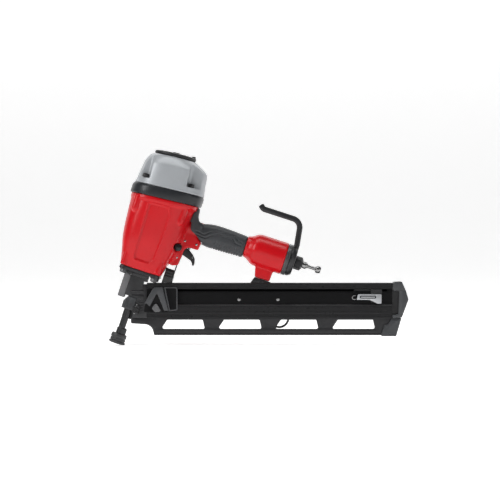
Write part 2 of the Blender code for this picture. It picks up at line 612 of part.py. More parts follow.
# ---------------------------------------------------------------- handle end, hook and air inlet
def build_handle_end(head):
    centre = (0, 0, GRIP_W)
    cap = [(6.4, 244.3), (28.9, 244.3), (29.3, 245.4), (29.3, 250.6), (28.4, 251.6), (11.0, 251.6),
           (11.0, 263.0), (6.4, 263.0)]
    add("end_cap", turned(cap, centre, "u", 28), "black_plastic", head)

    hub = [(11.35, 252.0), (27.4, 252.0), (28.2, 253.4), (27.4, 257.6), (24.0, 262.6), (11.35, 262.6)]
    hook = add("belt_hook", turned(hub, centre, "u", 24), "black_steel", head, origin=(257.3, 0, GRIP_W))
    path = smooth_path([(257.3, 132.0, 20), (250.6, 175.6, 17), (178.5, 175.6, 8)],
                       ((257.6, 115.0), (171.6, 181.4)))
    join(hook, prism(thick_line(path, 5.2), -6.2, 6.2), head, bevel=1.2)
    cut(hook, rod(11.35, 240.0, 270.0, centre, "u", 24), head)

    nut = add("inlet_nut", hex_head(22.0, 263.4, 278.0, centre, "u"), "black_steel", head)
    cut(nut, rod(7.1, 250.0, 290.0, centre, "u", 16), head)
    plug = [(2.0, 256.0), (6.1, 256.0), (6.1, 279.0), (6.8, 279.0), (6.8, 284.8), (5.4, 286.5),
            (3.3, 288.0),
            (3.3, 301.5), (4.6, 303.4), (6.9, 304.6), (6.9, 309.4), (5.2, 312.8), (2.0, 312.8)]
    add("air_plug", turned(plug, centre, "u", 16), "bright_steel", head)


# ---------------------------------------------------------------- magazine, in the world frame
def build_magazine(tool, head):
    half = [(15.0, RAIL_TOP), (15.0, RAIL_LOW), (10.5, RAIL_LOW - 0.6), (10.5, PANEL_LOW + 0.6),
            (14.5, PANEL_LOW), (14.5, BAND_LOW), (12.6, BAND_LOW - 0.8), (12.6, BODY_LOW),
            (3.2, BODY_LOW),
            (3.2, 97.0), (6.0, 98.5), (6.0, 107.5)]
    outline = half + [(-y, z) for y, z in half[::-1]]
    body = add("magazine_body", along(outline, MAG_FRONT, MAG_REAR), "black_anodised", tool)
    cut(body, box((-150.0, -30.0, 99.4), (236.0, -4.0, 103.6)), tool)
    for x in SCREW_PLACES:
        cut(body, turned([(0, -12.0), (3.6, -12.0), (3.6, -9.4), (2.2, -8.2), (2.2, -5.0), (0, -5.0)],
                         (x, 0, SCREW_Z), "v", 14), tool)
    for number, x in enumerate(SCREW_PLACES, 1):
        screw = turned([(0.0, -9.8), (1.4, -9.8), (1.4, -10.4), (3.2, -10.4), (3.2, -9.6), (1.9, -8.4),
                        (1.9, -5.4), (0.0, -5.4)], (x, 0, SCREW_Z), "v", 14)
        add(f"magazine_screw_{number}", screw, "bright_steel", tool)

    outline = rounded([(-232.4, 41.0, 3), (-232.4, BODY_LOW - GAP, 0), (244.6, BODY_LOW - GAP, 0),
                       (237.4, 40.2, 0),
                       (231.0, 38.9, 0), (225.2, 20.9, 0), (225.2, GUARD_LOW, 0),
                       (-189.8, GUARD_LOW, 1.5),
                       (-194.5, 38.6, 16)])
    guard = add("nail_guard", prism(outline, -6.4, 6.4), "black_anodised", tool, bevel=0.5)
    cut(guard, box((-260.0, -3.2, 23.0), (260.0, 3.2, 80.0)), tool)
    for index in range(WINDOW_COUNT):
        x = -177.7 + WINDOW_PITCH * index
        window = rounded([(x, 30.4, 3), (x + 80.5, 30.4, 3), (x + 76.6, 47.6, 3), (x + 11.5, 47.6, 3)])
        cut(guard, prism(window, -30.0, 30.0), tool)
    cut(guard, rod(12.0, -120.0, -60.0, steps=24), head)

    path = [Vector((39.0 + 17.0 * cos(a), 10.0, 50.4 - 17.0 * sin(a)))
            for a in [pi * (0.06 + 0.88 * k / 16) for k in range(17)]]
    add("wire_loop", tube_along(path, 2.0, 8), "black_steel", tool)


def build_magazine_front(tool):
    legs = rounded([(-202.9, 77.9, 1), (-207.7, 76.3, 1), (-197.8, 94.5, 0), (-189.9, 106.8, 2),
                    (-174.0, 108.4, 3),
                    (-163.4, 64.6, 1), (-171.0, 64.4, 0), (-184.2, 97.5, 2), (-197.0, 72.0, 1)])
    bracket = add("front_bracket", prism(legs, -19.4, -15.3), "grey_plastic", tool, bevel=0.5)
    web = rounded([(-208.0, 62.0, 2), (-205.0, 80.0, 0), (-186.0, 104.0, 0), (-176.0, 104.0, 0),
                   (-164.5, 62.0, 2)])
    join(bracket, prism(web, -16.8, -15.3), tool)
    button = rounded([(-185.9, 79.6, 3), (-193.6, 68.6, 3), (-187.4, 62.2, 2), (-176.0, 63.0, 2.5)])
    opening = rounded([(-185.9, 81.6, 3), (-195.8, 68.0, 3), (-188.0, 60.4, 1), (-173.6, 61.2, 2)])
    cut(bracket, prism(opening, -30.0, -10.0), tool)
    centre_x, centre_z = -185.5, 68.8
    latch = add("latch_button", prism(button, -19.2, -16.3), "grey_plastic", tool, bevel=0.6)
    for index in range(4):
        offset = -6.0 + 3.6 * index
        groove = [(centre_x - 12 + offset, centre_z - 13), (centre_x - 10.8 + offset, centre_z - 13),
                  (centre_x + 14.2 + offset, centre_z + 13), (centre_x + 13.0 + offset, centre_z + 13)]
        cut(latch, prism(groove, -21.0, -18.4), tool)

    plate = rounded([(-172.0, 107.6, 2), (-148.4, 107.6, 2), (-146.6, 104.0, 1), (-146.6, 65.0, 3),
                     (-163.0, 63.6, 2)])
    front_plate = add("front_plate", prism(plate, -17.2, -15.3), "grey_plastic", tool)
    inner = rounded([(-168.6, 105.6, 1), (-150.0, 105.6, 1), (-148.8, 103.0, 1), (-148.8, 67.0, 2),
                     (-160.4, 65.8, 1)])
    cut(front_plate, prism(inner, -20.0, -16.4), tool)


def build_magazine_rear(tool):
    cap = rounded([(249.2, 116.9, 1), (262.1, 117.7, 2), (269.4, 101.6, 3), (274.3, 84.9, 3),
                   (262.1, 52.2, 1),
                   (245.5, 51.4, 1), (245.5, 56.7, 0.8), (255.7, 58.2, 1.5), (257.7, 100.3, 1.5),
                   (248.0, 101.0, 1),
                   (245.5, 111.8, 0.5)])
    add("rear_cap", prism(cap, -16.6, 16.6), "grey_plastic", tool, bevel=0.9)
    guard = rounded([(262.1, 50.9, 0.5), (252.5, 17.6, 1.5), (226.2, 17.6, 1), (225.5, 20.7, 0),
                     (231.4, 38.5, 1),
                     (237.8, 39.7, 1), (245.2, 50.9, 0.5)])
    add("rear_guard", prism(guard, -9.0, 9.0), "grey_plastic", tool, bevel=0.8)
    stop = [(MAG_REAR + GAP, 57.1), (255.1, 58.8), (256.9, 98.0), (255.8, 99.9), (247.6, 100.7),
            (MAG_REAR + GAP, 109.0)]
    add("end_stop", prism(stop, -9.5, 9.5), "black_plastic", tool)


def build_leg_clamp(head):
    low = magazine_height
    outline = [(197.6, low(197.6) + GAP), (233.4, low(233.4) + GAP), (229.4, 51.9), (201.6, 51.9),
               (199.4, 46.0)]
    add("leg_clamp", prism(outline, -12.5, 12.5), "black_plastic", head, bevel=0.6)


def build_pusher(tool):
    block = rounded([(168.0, 56.0, 2), (196.0, 56.0, 2), (206.0, 96.0, 2), (206.0, 100.0, 0),
                     (174.0, 100.0, 0)])
    pusher = add("pusher", prism(block, -2.8, 2.8), "black_steel", tool)
    join(pusher, box((176.0, -5.6, 99.8), (226.0, 5.6, 103.2)), tool)
    join(pusher, box((206.0, -12.2, 99.8), (226.0, -5.0, 103.2)), tool)
    join(pusher, box((206.0, -12.2, 80.0), (226.0, -10.9, 103.2)), tool)
    cut(pusher, rod(9.4, -10.0, 10.0, (187.5, 0, 80.0), "v", 24), tool)
    spring = ring(2.2, 8.9, -2.7, 2.7, (187.5, 0, 80.0), "v", 24)
    add("pusher_spring", spring, "bright_steel", tool)

    handle = rounded([(179.7, 84.4, 0.8), (182.4, 94.4, 1.5), (225.1, 94.4, 1.5), (225.1, 77.2, 2),
                      (217.8, 77.2, 2),
                      (203.5, 84.2, 2)])
    handle_piece = add("pusher_handle", prism(handle, -16.4, -12.5), "bare_aluminium", tool, bevel=0.5)
    slot = rounded([(185.4, 86.6, 2.4), (185.4, 91.8, 2.4), (220.4, 91.8, 2.4), (220.4, 86.6, 2.4)])
    cut(handle_piece, prism(slot, -20.0, -14.4), tool)
    arc = [(175.4 + r * cos(a), 88.6 + r * sin(a))
           for r, turns in ((4.3, range(13)), (2.9, range(12, -1, -1)))
           for a in [radians(50 + 260 * k / 12) for k in turns]]
    add("pusher_clip", prism(arc, -15.6, -12.5), "bright_steel", tool)


def main():
    clear_scene()
    tool = frame_empty("tool_frame", (BASE_X, 0.0, BASE_Z), 0.0)
    head = frame_empty("head_frame", (HEAD_X, 0.0, HEAD_Z), HEAD_TILT, tool)
    seam = frame_empty("seam_frame", (SEAM_U, 0.0, SEAM_W), -SEAM_TILT, head)
    housing = build_housing(head)
    build_grip(head)
    build_cap_group(head, seam, housing)
    build_motor(head)
    build_nose(tool, head)
    build_contact(head)
    build_contact_hardware(head)
    build_trigger(head)
    build_handle_end(head)
    build_magazine(tool, head)
    build_magazine_front(tool)
    build_magazine_rear(tool)
    build_leg_clamp(head)
    build_pusher(tool)


main()
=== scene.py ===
"""Looks of a pneumatic framing nail gun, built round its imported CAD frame.

Shapes are worked out in millimetres in three frames that share the row's Y: the tool frame, with the
magazine along X; the head frame, where u runs back along the handle and w up the driver's axis; and the
seam frame of the cap. Each finished mesh is turned to metres in the row frame.
"""

from collections import namedtuple
from math import atan2, copysign, cos, pi, radians, sin, tan

import bmesh
import bpy
import numpy as np
from mathutils import Matrix, Vector


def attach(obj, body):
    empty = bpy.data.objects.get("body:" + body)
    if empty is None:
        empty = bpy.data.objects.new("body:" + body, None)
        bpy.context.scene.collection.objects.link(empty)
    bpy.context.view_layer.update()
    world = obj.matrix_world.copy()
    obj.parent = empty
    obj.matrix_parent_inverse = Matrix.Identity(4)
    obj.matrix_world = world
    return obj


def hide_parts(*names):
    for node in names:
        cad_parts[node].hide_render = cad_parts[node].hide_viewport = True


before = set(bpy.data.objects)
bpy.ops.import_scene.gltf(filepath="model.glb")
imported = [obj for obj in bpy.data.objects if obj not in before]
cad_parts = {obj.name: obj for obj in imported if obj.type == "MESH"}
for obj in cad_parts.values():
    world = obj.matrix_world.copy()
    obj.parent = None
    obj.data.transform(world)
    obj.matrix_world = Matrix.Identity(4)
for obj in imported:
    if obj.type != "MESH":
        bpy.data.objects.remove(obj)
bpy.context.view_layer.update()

# ---------------------------------------------------------------- dimensions of the frame (mm, degrees)
MM = 0.001
GAP = 0.3
HEAD_TILT, SEAM_TILT = 18.0, 4.7
HEAD_X, HEAD_Z = -214.1, 138.5
BASE_X, BASE_Z = -0.56, -0.53
SEAM_U, SEAM_W = 2.7, 136.3
GRIP_W, BULGE_R, BULGE_END = 100.65, 29.65, 244.0
HANDLE_AXIS = (0, 0, GRIP_W)
BOLT_NOSE, BOLT_CAP = 29.0, 42.0
TRIGGER_PIVOT, LEVER_PIVOT = (52.5, 0, 60.4), (82.4, 0, 50.8)
VALVE_U = 71.5
PIN_PLACES = [(60.4, 75.6), (82.4, 75.6), (55.3, 42.6)]
RAIL_TOP, BODY_LOW, GUARD_LOW = 115.1, 50.7, 19.4
MAG_FRONT, MAG_REAR = -203.0, 245.0
SCREW_PLACES, SCREW_Z = (-34.6, 36.4), 84.8
PAD_LOW = -141.4
DEPTH_PLACE, DEPTH_W = (13.5, -18.0, 0.0), -70.2
CAP_NOTCH = 34.0
FOUR_CORNERS = [(-1, -1), (-1, 1), (1, -1), (1, 1)]
CAP_PLACES, NOSE_PLACES = ([(reach * i, reach * j, 0) for i, j in FOUR_CORNERS]
                           for reach in (BOLT_CAP, BOLT_NOSE))

TOOL = Matrix.Translation((BASE_X, 0.0, BASE_Z))
HEAD = TOOL @ Matrix.Translation((HEAD_X, 0.0, HEAD_Z)) @ Matrix.Rotation(radians(HEAD_TILT), 4, "Y")
SEAM = HEAD @ Matrix.Translation((SEAM_U, 0.0, SEAM_W)) @ Matrix.Rotation(radians(-SEAM_TILT), 4, "Y")


# ---------------------------------------------------------------- outlines and tables
def rounded(corners, step=10):
    """A closed outline from (x, y, radius) corners, each radius turned into an arc."""
    outline = []
    for index, (x, y, radius) in enumerate(corners):
        here = Vector((x, y))
        if radius <= 0.0:
            outline.append((x, y))
            continue
        back = (Vector(corners[index - 1][:2]) - here).normalized()
        ahead = (Vector(corners[(index + 1) % len(corners)][:2]) - here).normalized()
        half = back.angle(ahead) / 2.0
        centre = here + (back + ahead).normalized() * (radius / sin(half))
        start = here + back * (radius / tan(half)) - centre
        end = here + ahead * (radius / tan(half)) - centre
        sweep = atan2(start.cross(end), start.dot(end))
        steps = max(1, round(abs(sweep) / radians(step)))
        for k in range(steps + 1):
            point = centre + Matrix.Rotation(sweep * k / steps, 2) @ start
            outline.append((point.x, point.y))
    return outline


def squircle(half_x, half_y, power, count=96):
    """Points of a rounded square; power 2 is an ellipse and larger powers are squarer."""
    points = []
    for i in range(count):
        angle = 2 * pi * (i + 0.5) / count
        c, s = cos(angle), sin(angle)
        points.append((half_x * copysign(abs(c) ** (2 / power), c),
                       half_y * copysign(abs(s) ** (2 / power), s)))
    return points


def smooth_rows(rows, pitch):
    """The rows of a table joined by smooth monotone curves, about pitch apart in the first column."""
    table = np.array(rows, float)
    height, values = table[:, 0], table[:, 1:]
    secant = np.diff(values, axis=0) / np.diff(height)[:, None]
    slope = np.vstack([secant[:1], np.zeros_like(secant[1:]), secant[-1:]])
    product, total = secant[:-1] * secant[1:], secant[:-1] + secant[1:]
    slope[1:-1] = np.where(product > 0, 2 * product / np.where(product > 0, total, 1.0), 0.0)
    made = []
    for k in range(len(height) - 1):
        span = height[k + 1] - height[k]
        count = max(1, round(span / pitch))
        for t in np.arange(count) / count:
            row = (values[k] * (1 + 2 * t) * (1 - t) ** 2 + values[k + 1] * t * t * (3 - 2 * t)
                   + span * (slope[k] * t * (1 - t) ** 2 - slope[k + 1] * t * t * (1 - t)))
            made.append((height[k] + span * t, *row))
    made.append(tuple(table[-1]))
    return made


def thick_line(path, half):
    """The closed outline of a bar with the given half thickness about a centre line."""
    path = [Vector(point) for point in path]
    left, right = [], []
    for index, point in enumerate(path):
        ahead = path[min(index + 1, len(path) - 1)] - path[max(index - 1, 0)]
        side = Vector((-ahead.y, ahead.x)).normalized() * half
        left.append(tuple(point + side))
        right.append(tuple(point - side))
    return left + right[::-1]


# ---------------------------------------------------------------- solids as bmeshes, in mm
PLACE = {"u": lambda a, b, h: (h, a, b), "v": lambda a, b, h: (a, h, b), "w": lambda a, b, h: (a, b, h)}


def closed(vertices, faces):
    body = bmesh.new()
    made = [body.verts.new(point) for point in vertices]
    for face in faces:
        body.faces.new([made[index] for index in face])
    bmesh.ops.recalc_face_normals(body, faces=body.faces)
    return body


def eased(body, width, segments=3, limit=40):
    """The body with its sharp edges rounded."""
    if width > 0.0:
        edges = [edge for edge in body.edges if edge.calc_face_angle(0.0) > radians(limit)]
        bmesh.ops.bevel(body, geom=edges, offset=width, segments=segments, profile=0.5, affect="EDGES",
                        clamp_overlap=True)
    return body


def loft(rings):
    """A closed body through rings that all have the same number of points, with flat ends."""
    count = len(rings[0])
    vertices = [point for ring in rings for point in ring]
    faces = [list(range(count)), list(range(len(vertices) - count, len(vertices)))]
    for base in range(0, len(vertices) - count, count):
        for i in range(count):
            j = (i + 1) % count
            faces.append([base + i, base + j, base + count + j, base + count + i])
    return closed(vertices, faces)


def extrude(outline, low, high, axis="v", ease=0.0, segments=3):
    """An outline pulled along an axis: v for side views, w for plans, u for sections."""
    return eased(loft([[PLACE[axis](a, b, h) for a, b in outline] for h in (low, high)]), ease, segments)


def box(low, high, ease=0.0):
    corners = [(low[1], low[2]), (high[1], low[2]), (high[1], high[2]), (low[1], high[2])]
    return extrude(corners, low[0], high[0], "u", ease)


def both_sides(low, high):
    """A box on the far side, at y above 0, and its mirror image on the near side."""
    return [box((low[0], -high[1], low[2]), (high[0], -low[1], high[2])), box(low, high)]


def six_points(radius, x=0.0, y=0.0, turn=0.0):
    """The corners of a hexagon, turned by a share of 60 degrees."""
    return [(x + radius * cos(pi / 3 * (k + turn)), y + radius * sin(pi / 3 * (k + turn)))
            for k in range(6)]


def turned(profile, centre=(0.0, 0.0, 0.0), axis="w", steps=64):
    """A (radius, height) profile turned about an axis; one that doesn't end at radius 0 leaves a bore."""
    solid = profile[0][0] == 0.0 and profile[-1][0] == 0.0
    vertices, starts = [], []
    for radius, height in profile:
        starts.append(len(vertices))
        for i in range(1 if radius == 0.0 else steps):
            angle = 2 * pi * (i + 0.5) / steps
            local = PLACE[axis](radius * cos(angle), radius * sin(angle), height)
            vertices.append(tuple(c + p for c, p in zip(centre, local)))
    faces = []
    for k in range(len(profile) - (1 if solid else 0)):
        n = (k + 1) % len(profile)
        for i in range(steps):
            j = (i + 1) % steps
            if profile[k][0] == 0.0:
                faces.append([starts[k], starts[n] + i, starts[n] + j])
            elif profile[n][0] == 0.0:
                faces.append([starts[k] + i, starts[k] + j, starts[n]])
            else:
                faces.append([starts[k] + i, starts[k] + j, starts[n] + j, starts[n] + i])
    return closed(vertices, faces)


def rod(radius, low, high, centre=(0.0, 0.0, 0.0), axis="w", steps=32, ease=0.0):
    return eased(turned([(0.0, low), (radius, low), (radius, high), (0.0, high)], centre, axis, steps),
                 ease)


def ball_rod(radius, low, high, centre, round_low=True):
    """A rod with one domed end."""
    arc = [(radius * sin(a), radius * cos(a)) for a in [pi / 2 * k / 8 for k in range(9)]]
    if round_low:
        profile = [(r, low + radius - h) for r, h in arc] + [(radius, high), (0.0, high)]
    else:
        profile = [(0.0, low), (radius, low)] + [(r, high - radius + h) for r, h in arc[::-1]]
    return turned(profile, centre, steps=32)


def trough(outer, inner, low, high):
    """An open section between two lines of as many points each, from one height to another."""
    count = len(outer)
    vertices = [(x, y, height) for height in (low, high) for x, y in outer + inner]
    faces = [[k, k + count, k + 3 * count, k + 2 * count] for k in (0, count - 1)]
    for k in range(count - 1):
        for a, b in ((0, count), (2 * count, 3 * count), (0, 2 * count), (count, 3 * count)):
            faces.append([a + k, a + k + 1, b + k + 1, b + k])
    return closed(vertices, faces)


def wire(points, radius, sides=12):
    """A round wire through 3-D points, with rounded-off ends."""
    rings = []
    last = len(points) - 1
    for index, point in enumerate(points):
        ahead = (points[min(index + 1, last)] - points[max(index - 1, 0)]).normalized()
        side = ahead.cross(Vector((0.0, 1.0, 0.0))).normalized()
        up = side.cross(ahead)
        turns = [2 * pi * k / sides for k in range(sides)]
        rings.append([tuple(point + radius * (side * cos(a) + up * sin(a))) for a in turns])
    return eased(loft(rings), radius * 0.4)


def hexagon(across, low, high, centre, axis="w", flip=False):
    """A hexagonal head whose outer end, at low or at high if flipped, is chamfered all round."""
    corner = across / 2 / cos(pi / 6)
    prism = extrude(six_points(corner, turn=0.5), low, high, axis, 0.35)
    bmesh.ops.translate(prism, vec=Vector(centre), verts=prism.verts)
    reach, slope = corner - 0.5 * (corner - across / 2), 0.14 * across
    profile = [(0.0, low), (reach - slope * 1.3, low), (reach + 0.4, low + slope),
               (corner * 1.2, low + slope * 1.2), (corner * 1.2, high + 1.0), (0.0, high + 1.0)]
    if flip:
        profile = [(r, low + high - h) for r, h in profile]
    return prism, turned(profile, centre, axis, 48)


# ---------------------------------------------------------------- objects
def temporary(body, place):
    body.transform(place)
    mesh = bpy.data.meshes.new("temporary")
    body.to_mesh(mesh)
    body.free()
    made = bpy.data.objects.new("temporary", mesh)
    bpy.context.collection.objects.link(made)
    return made


def shape(name, body, place, joins=(), cuts=(), meets=(), ease=0.0, voxel=0.0, polish=0, sharp=32):
    """A mesh object, still in mm: a body with others joined on, cut away or met with, then eased or cast.

    Each of joins, cuts and meets holds bodies, or (body, frame) pairs where the frame is another one. voxel
    casts the result into one even skin with soft fillets, which polish smooths.
    """
    made = temporary(body, place)
    made.name = name
    tools = []
    for operation, bodies in (("UNION", joins), ("INTERSECT", meets), ("DIFFERENCE", cuts)):
        for item in bodies:
            other, other_place = item if isinstance(item, tuple) else (item, place)
            tools.append(temporary(other, other_place))
            step = made.modifiers.new(operation.lower(), "BOOLEAN")
            step.operation, step.object, step.solver = operation, tools[-1], "EXACT"
    if ease:
        edge = made.modifiers.new("edge", "BEVEL")
        edge.width, edge.segments, edge.limit_method, edge.angle_limit = ease, 2, "ANGLE", radians(38)
        edge.use_clamp_overlap = True
    if voxel:
        cast = made.modifiers.new("cast", "REMESH")
        cast.mode, cast.voxel_size = "VOXEL", voxel
    if polish:
        file_down = made.modifiers.new("polish", "SMOOTH")
        file_down.factor, file_down.iterations = 0.5, polish
    evaluated = made.evaluated_get(bpy.context.evaluated_depsgraph_get())
    mesh = bpy.data.meshes.new_from_object(evaluated)
    made.modifiers.clear()
    made.data = mesh
    for tool in tools:
        bpy.data.objects.remove(tool, do_unlink=True)
    mesh.shade_smooth()
    mesh.set_sharp_from_angle(angle=radians(180 if voxel else sharp))
    return made


def joined(first, second):
    """Two meshes that touch face to face, kept as one object."""
    with bpy.context.temp_override(active_object=first, selected_editable_objects=[first, second]):
        bpy.ops.object.join()
    return first


def sculpt(piece, place, offset):
    """Push each vertex along its normal by offset(points), both in mm of the frame given."""
    mesh = piece.data
    count = len(mesh.vertices)
    points, normals = np.empty(3 * count), np.empty(3 * count)
    mesh.vertices.foreach_get("co", points)
    mesh.vertices.foreach_get("normal", normals)
    points, normals = points.reshape(-1, 3), normals.reshape(-1, 3)
    turn, shift = np.array(place.to_3x3()), np.array(place.translation)
    amount = offset((points - shift) @ turn, normals @ turn)
    mesh.vertices.foreach_set("co", (points + normals * amount[:, None]).ravel())
    mesh.update()


def dress(piece, look, body, *nodes):
    """Give a finished shape its material, its body and the CAD nodes that it stands for."""
    piece.data.transform(Matrix.Scale(MM, 4))
    piece.data.materials.clear()
    piece.data.materials.append(material(look))
    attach(piece, body)
    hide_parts(*nodes)
    return piece


def inlay(piece, look, within):
    """Give a second look to the faces that within(centre, normal) picks, in mm of the tool frame; here that
    look is always the painted shade on recessed faces.
    """
    mesh = piece.data
    mesh.materials.append(material(look))
    back = TOOL.inverted() @ Matrix.Scale(1 / MM, 4)
    for face in mesh.polygons:
        if within(back @ face.center, face.normal):
            face.material_index = 1


# ---------------------------------------------------------------- fields for sculpting
def line_distance(points, line):
    """Distance of 2-D points from an open line."""
    best = np.full(len(points), 1e9)
    for start, end in zip(line[:-1], line[1:]):
        start, run = np.array(start), np.array(end) - np.array(start)
        share = np.clip(((points - start) @ run) / (run @ run), 0.0, 1.0)
        best = np.minimum(best, np.linalg.norm(points - start - share[:, None] * run, axis=1))
    return best


def inside(points, outline):
    """True where 2-D points lie inside a closed outline."""
    found = np.zeros(len(points), bool)
    for (x0, y0), (x1, y1) in zip(outline, outline[1:] + outline[:1]):
        crosses = (y0 > points[:, 1]) != (y1 > points[:, 1])
        at = x0 + (points[:, 1] - y0) * (x1 - x0) / (y1 - y0 if y1 != y0 else 1e-9)
        found ^= crosses & (points[:, 0] < at)
    return found


def ramp(values, low, high):
    """0 below low, 1 above high, with a smooth step between."""
    t = np.clip((values - low) / (high - low), 0.0, 1.0)
    return t * t * (3 - 2 * t)


# ---------------------------------------------------------------- materials
# What a look is made of: the record's slot, base colour, mean roughness, grain per metre and its bump
# height in mm, and the colour of worn edges; then how much of that shows, the edge radius in mm that
# wears, how far the base colour and the roughness vary, specular level, metallic, clear coat, and the
# grain's stretch by axis. Edge radius 0 is for cast pieces, whose fillets show where the skin wears.
Look = namedtuple("Look", ["slot", "colour", "rough", "grain", "height", "worn", "wear", "edge", "mottle",
                           "spread", "specular", "metal", "coat", "stretch"],
                  defaults=(0.5, 0.4, 0.12, 0.12, 0.5, 0.0, 0.0, (1.0, 1.0, 1.0)))
LOOKS = {
    "red": Look("red_casting", (0.6, 0.004, 0.009), 0.3, 900, 0.03, (0.8, 0.1, 0.09), wear=0.35, edge=0.0,
                mottle=0.05, spread=0.08, specular=0.28, coat=0.1),
    "grey": Look("grey_cap", (0.42, 0.44, 0.46), 0.4, 1100, 0.04, (0.66, 0.68, 0.7), wear=0.45, edge=0.0,
                 mottle=0.04, spread=0.1, specular=0.45, metal=0.15, coat=0.1),
    "band": Look("grip_rubber", (0.019, 0.021, 0.024), 0.34, 1500, 0.06, (0.085, 0.09, 0.095), edge=0.7,
                 mottle=0.1, specular=0.4),
    "rubber": Look("grip_rubber", (0.034, 0.037, 0.041), 0.46, 1700, 0.09, (0.12, 0.124, 0.13), edge=0.0,
                   mottle=0.1),
    "pad": Look("pad_rubber", (0.04, 0.04, 0.042), 0.45, 1400, 0.1, (0.11, 0.11, 0.11), wear=0.6, edge=0.6,
                mottle=0.18),
    "black": Look("black_plastic", (0.014, 0.014, 0.015), 0.34, 1600, 0.06, (0.055, 0.055, 0.058), wear=0.6,
                  mottle=0.15, spread=0.14, specular=0.45),
    "plastic": Look("grey_plastic", (0.058, 0.061, 0.065), 0.42, 1300, 0.12, (0.18, 0.184, 0.19), wear=0.6,
                    edge=0.7, mottle=0.1, specular=0.45),
    "fin": Look("guard_plastic", (0.17, 0.17, 0.175), 0.6, 900, 0.2, (0.4, 0.4, 0.4), edge=0.8, mottle=0.14,
                specular=0.35),
    "anodised": Look("magazine_black", (0.013, 0.013, 0.014), 0.3, 700, 0.03, (0.1, 0.1, 0.105), wear=0.55,
                     edge=0.35, spread=0.1, specular=0.35, metal=0.25, stretch=(0.05, 1.0, 1.0)),
    "guard": Look("magazine_black", (0.02, 0.02, 0.022), 0.48, 1200, 0.07, (0.1, 0.1, 0.105), edge=0.5,
                  specular=0.4),
    # The recess look is a darker copy of the magazine black, given to recessed faces as painted shade where
    # shade falls.
    "painted_recess_shade": Look("magazine_black", (0.006, 0.006, 0.0065), 0.5, 900, 0.05, (0.04, 0.04, 0.042), wear=0.4,
                   mottle=0.15, specular=0.12),
    # The ribbed look is the black plastic lightened well past black: painted sheen standing in for the
    # highlights on the end cap's ridges.
    "ribbed_painted_sheen": Look("black_plastic", (0.07, 0.07, 0.073), 0.32, 1500, 0.06, (0.14, 0.14, 0.145),
                   specular=0.55),
    "steel_black": Look("black_steel", (0.03, 0.03, 0.032), 0.34, 1000, 0.08, (0.17, 0.17, 0.175), wear=0.7,
                        edge=0.5, mottle=0.14, spread=0.14, specular=0.55, metal=0.35),
    "bolt": Look("bright_steel", (0.085, 0.085, 0.088), 0.36, 1200, 0.03, (0.8, 0.8, 0.78), mottle=0.08,
                 metal=1.0),
    "steel": Look("bright_steel", (0.33, 0.33, 0.33), 0.24, 1200, 0.03, (0.8, 0.8, 0.78), mottle=0.08,
                  metal=1.0),
    "aluminium": Look("bare_aluminium", (0.56, 0.57, 0.59), 0.42, 1100, 0.04, (0.74, 0.75, 0.77), wear=0.4,
                      edge=0.5, mottle=0.08, metal=0.7, stretch=(0.08, 1.0, 1.0)),
}


class Nodes:
    """Short calls for a node tree. A value given to a socket is set, and a socket given to it is linked."""

    def __init__(self, tree):
        self.tree = tree

    def fill(self, node, sockets):
        for name, value in sockets.items():
            if isinstance(value, bpy.types.NodeSocket):
                self.tree.links.new(value, node.inputs[name])
            else:
                node.inputs[name].default_value = value

    def add(self, kind, sockets=None, **settings):
        node = self.tree.nodes.new("ShaderNode" + kind)
        for name, value in settings.items():
            setattr(node, name, value)
        self.fill(node, sockets or {})
        return node.outputs

    def span(self, source, low, high, to_low, to_high):
        return self.add("MapRange", {"Value": source, "From Min": low, "From Max": high, "To Min": to_low,
                                     "To Max": to_high})["Result"]

    def noise(self, vector, scale, detail, rough):
        return self.add("TexNoise", {"Vector": vector, "Scale": scale, "Detail": detail,
                                     "Roughness": rough})["Fac"]

    def product(self, first, second):
        return self.add("Math", {0: first, 1: second}, operation="MULTIPLY")[0]

    def blend(self, first, second, share):
        """The first value and the second, with the first given that share of 1."""
        return self.add("Math", {0: self.product(first, share), 1: self.product(second, 1.0 - share)},
                        operation="ADD")[0]

    def mix(self, factor, first, second):
        colours = {0: factor, 6: (*first, 1.0) if isinstance(first, tuple) else first, 7: (*second, 1.0)}
        return self.add("Mix", colours, data_type="RGBA")[2]


def edge_wear(nodes, facts):
    """How worn each spot is: where the normal bends at an edge, or where a cast skin stands out."""
    surface = nodes.add("NewGeometry")
    if not facts.edge:
        return nodes.span(surface["Pointiness"], 0.53, 0.62, 0.0, facts.wear)
    bevel = nodes.add("Bevel", {"Radius": facts.edge * MM})["Normal"]
    bend = nodes.add("VectorMath", {0: bevel, 1: surface["Normal"]}, operation="DOT_PRODUCT")["Value"]
    return nodes.span(bend, 0.97, 0.80, 0.0, facts.wear)


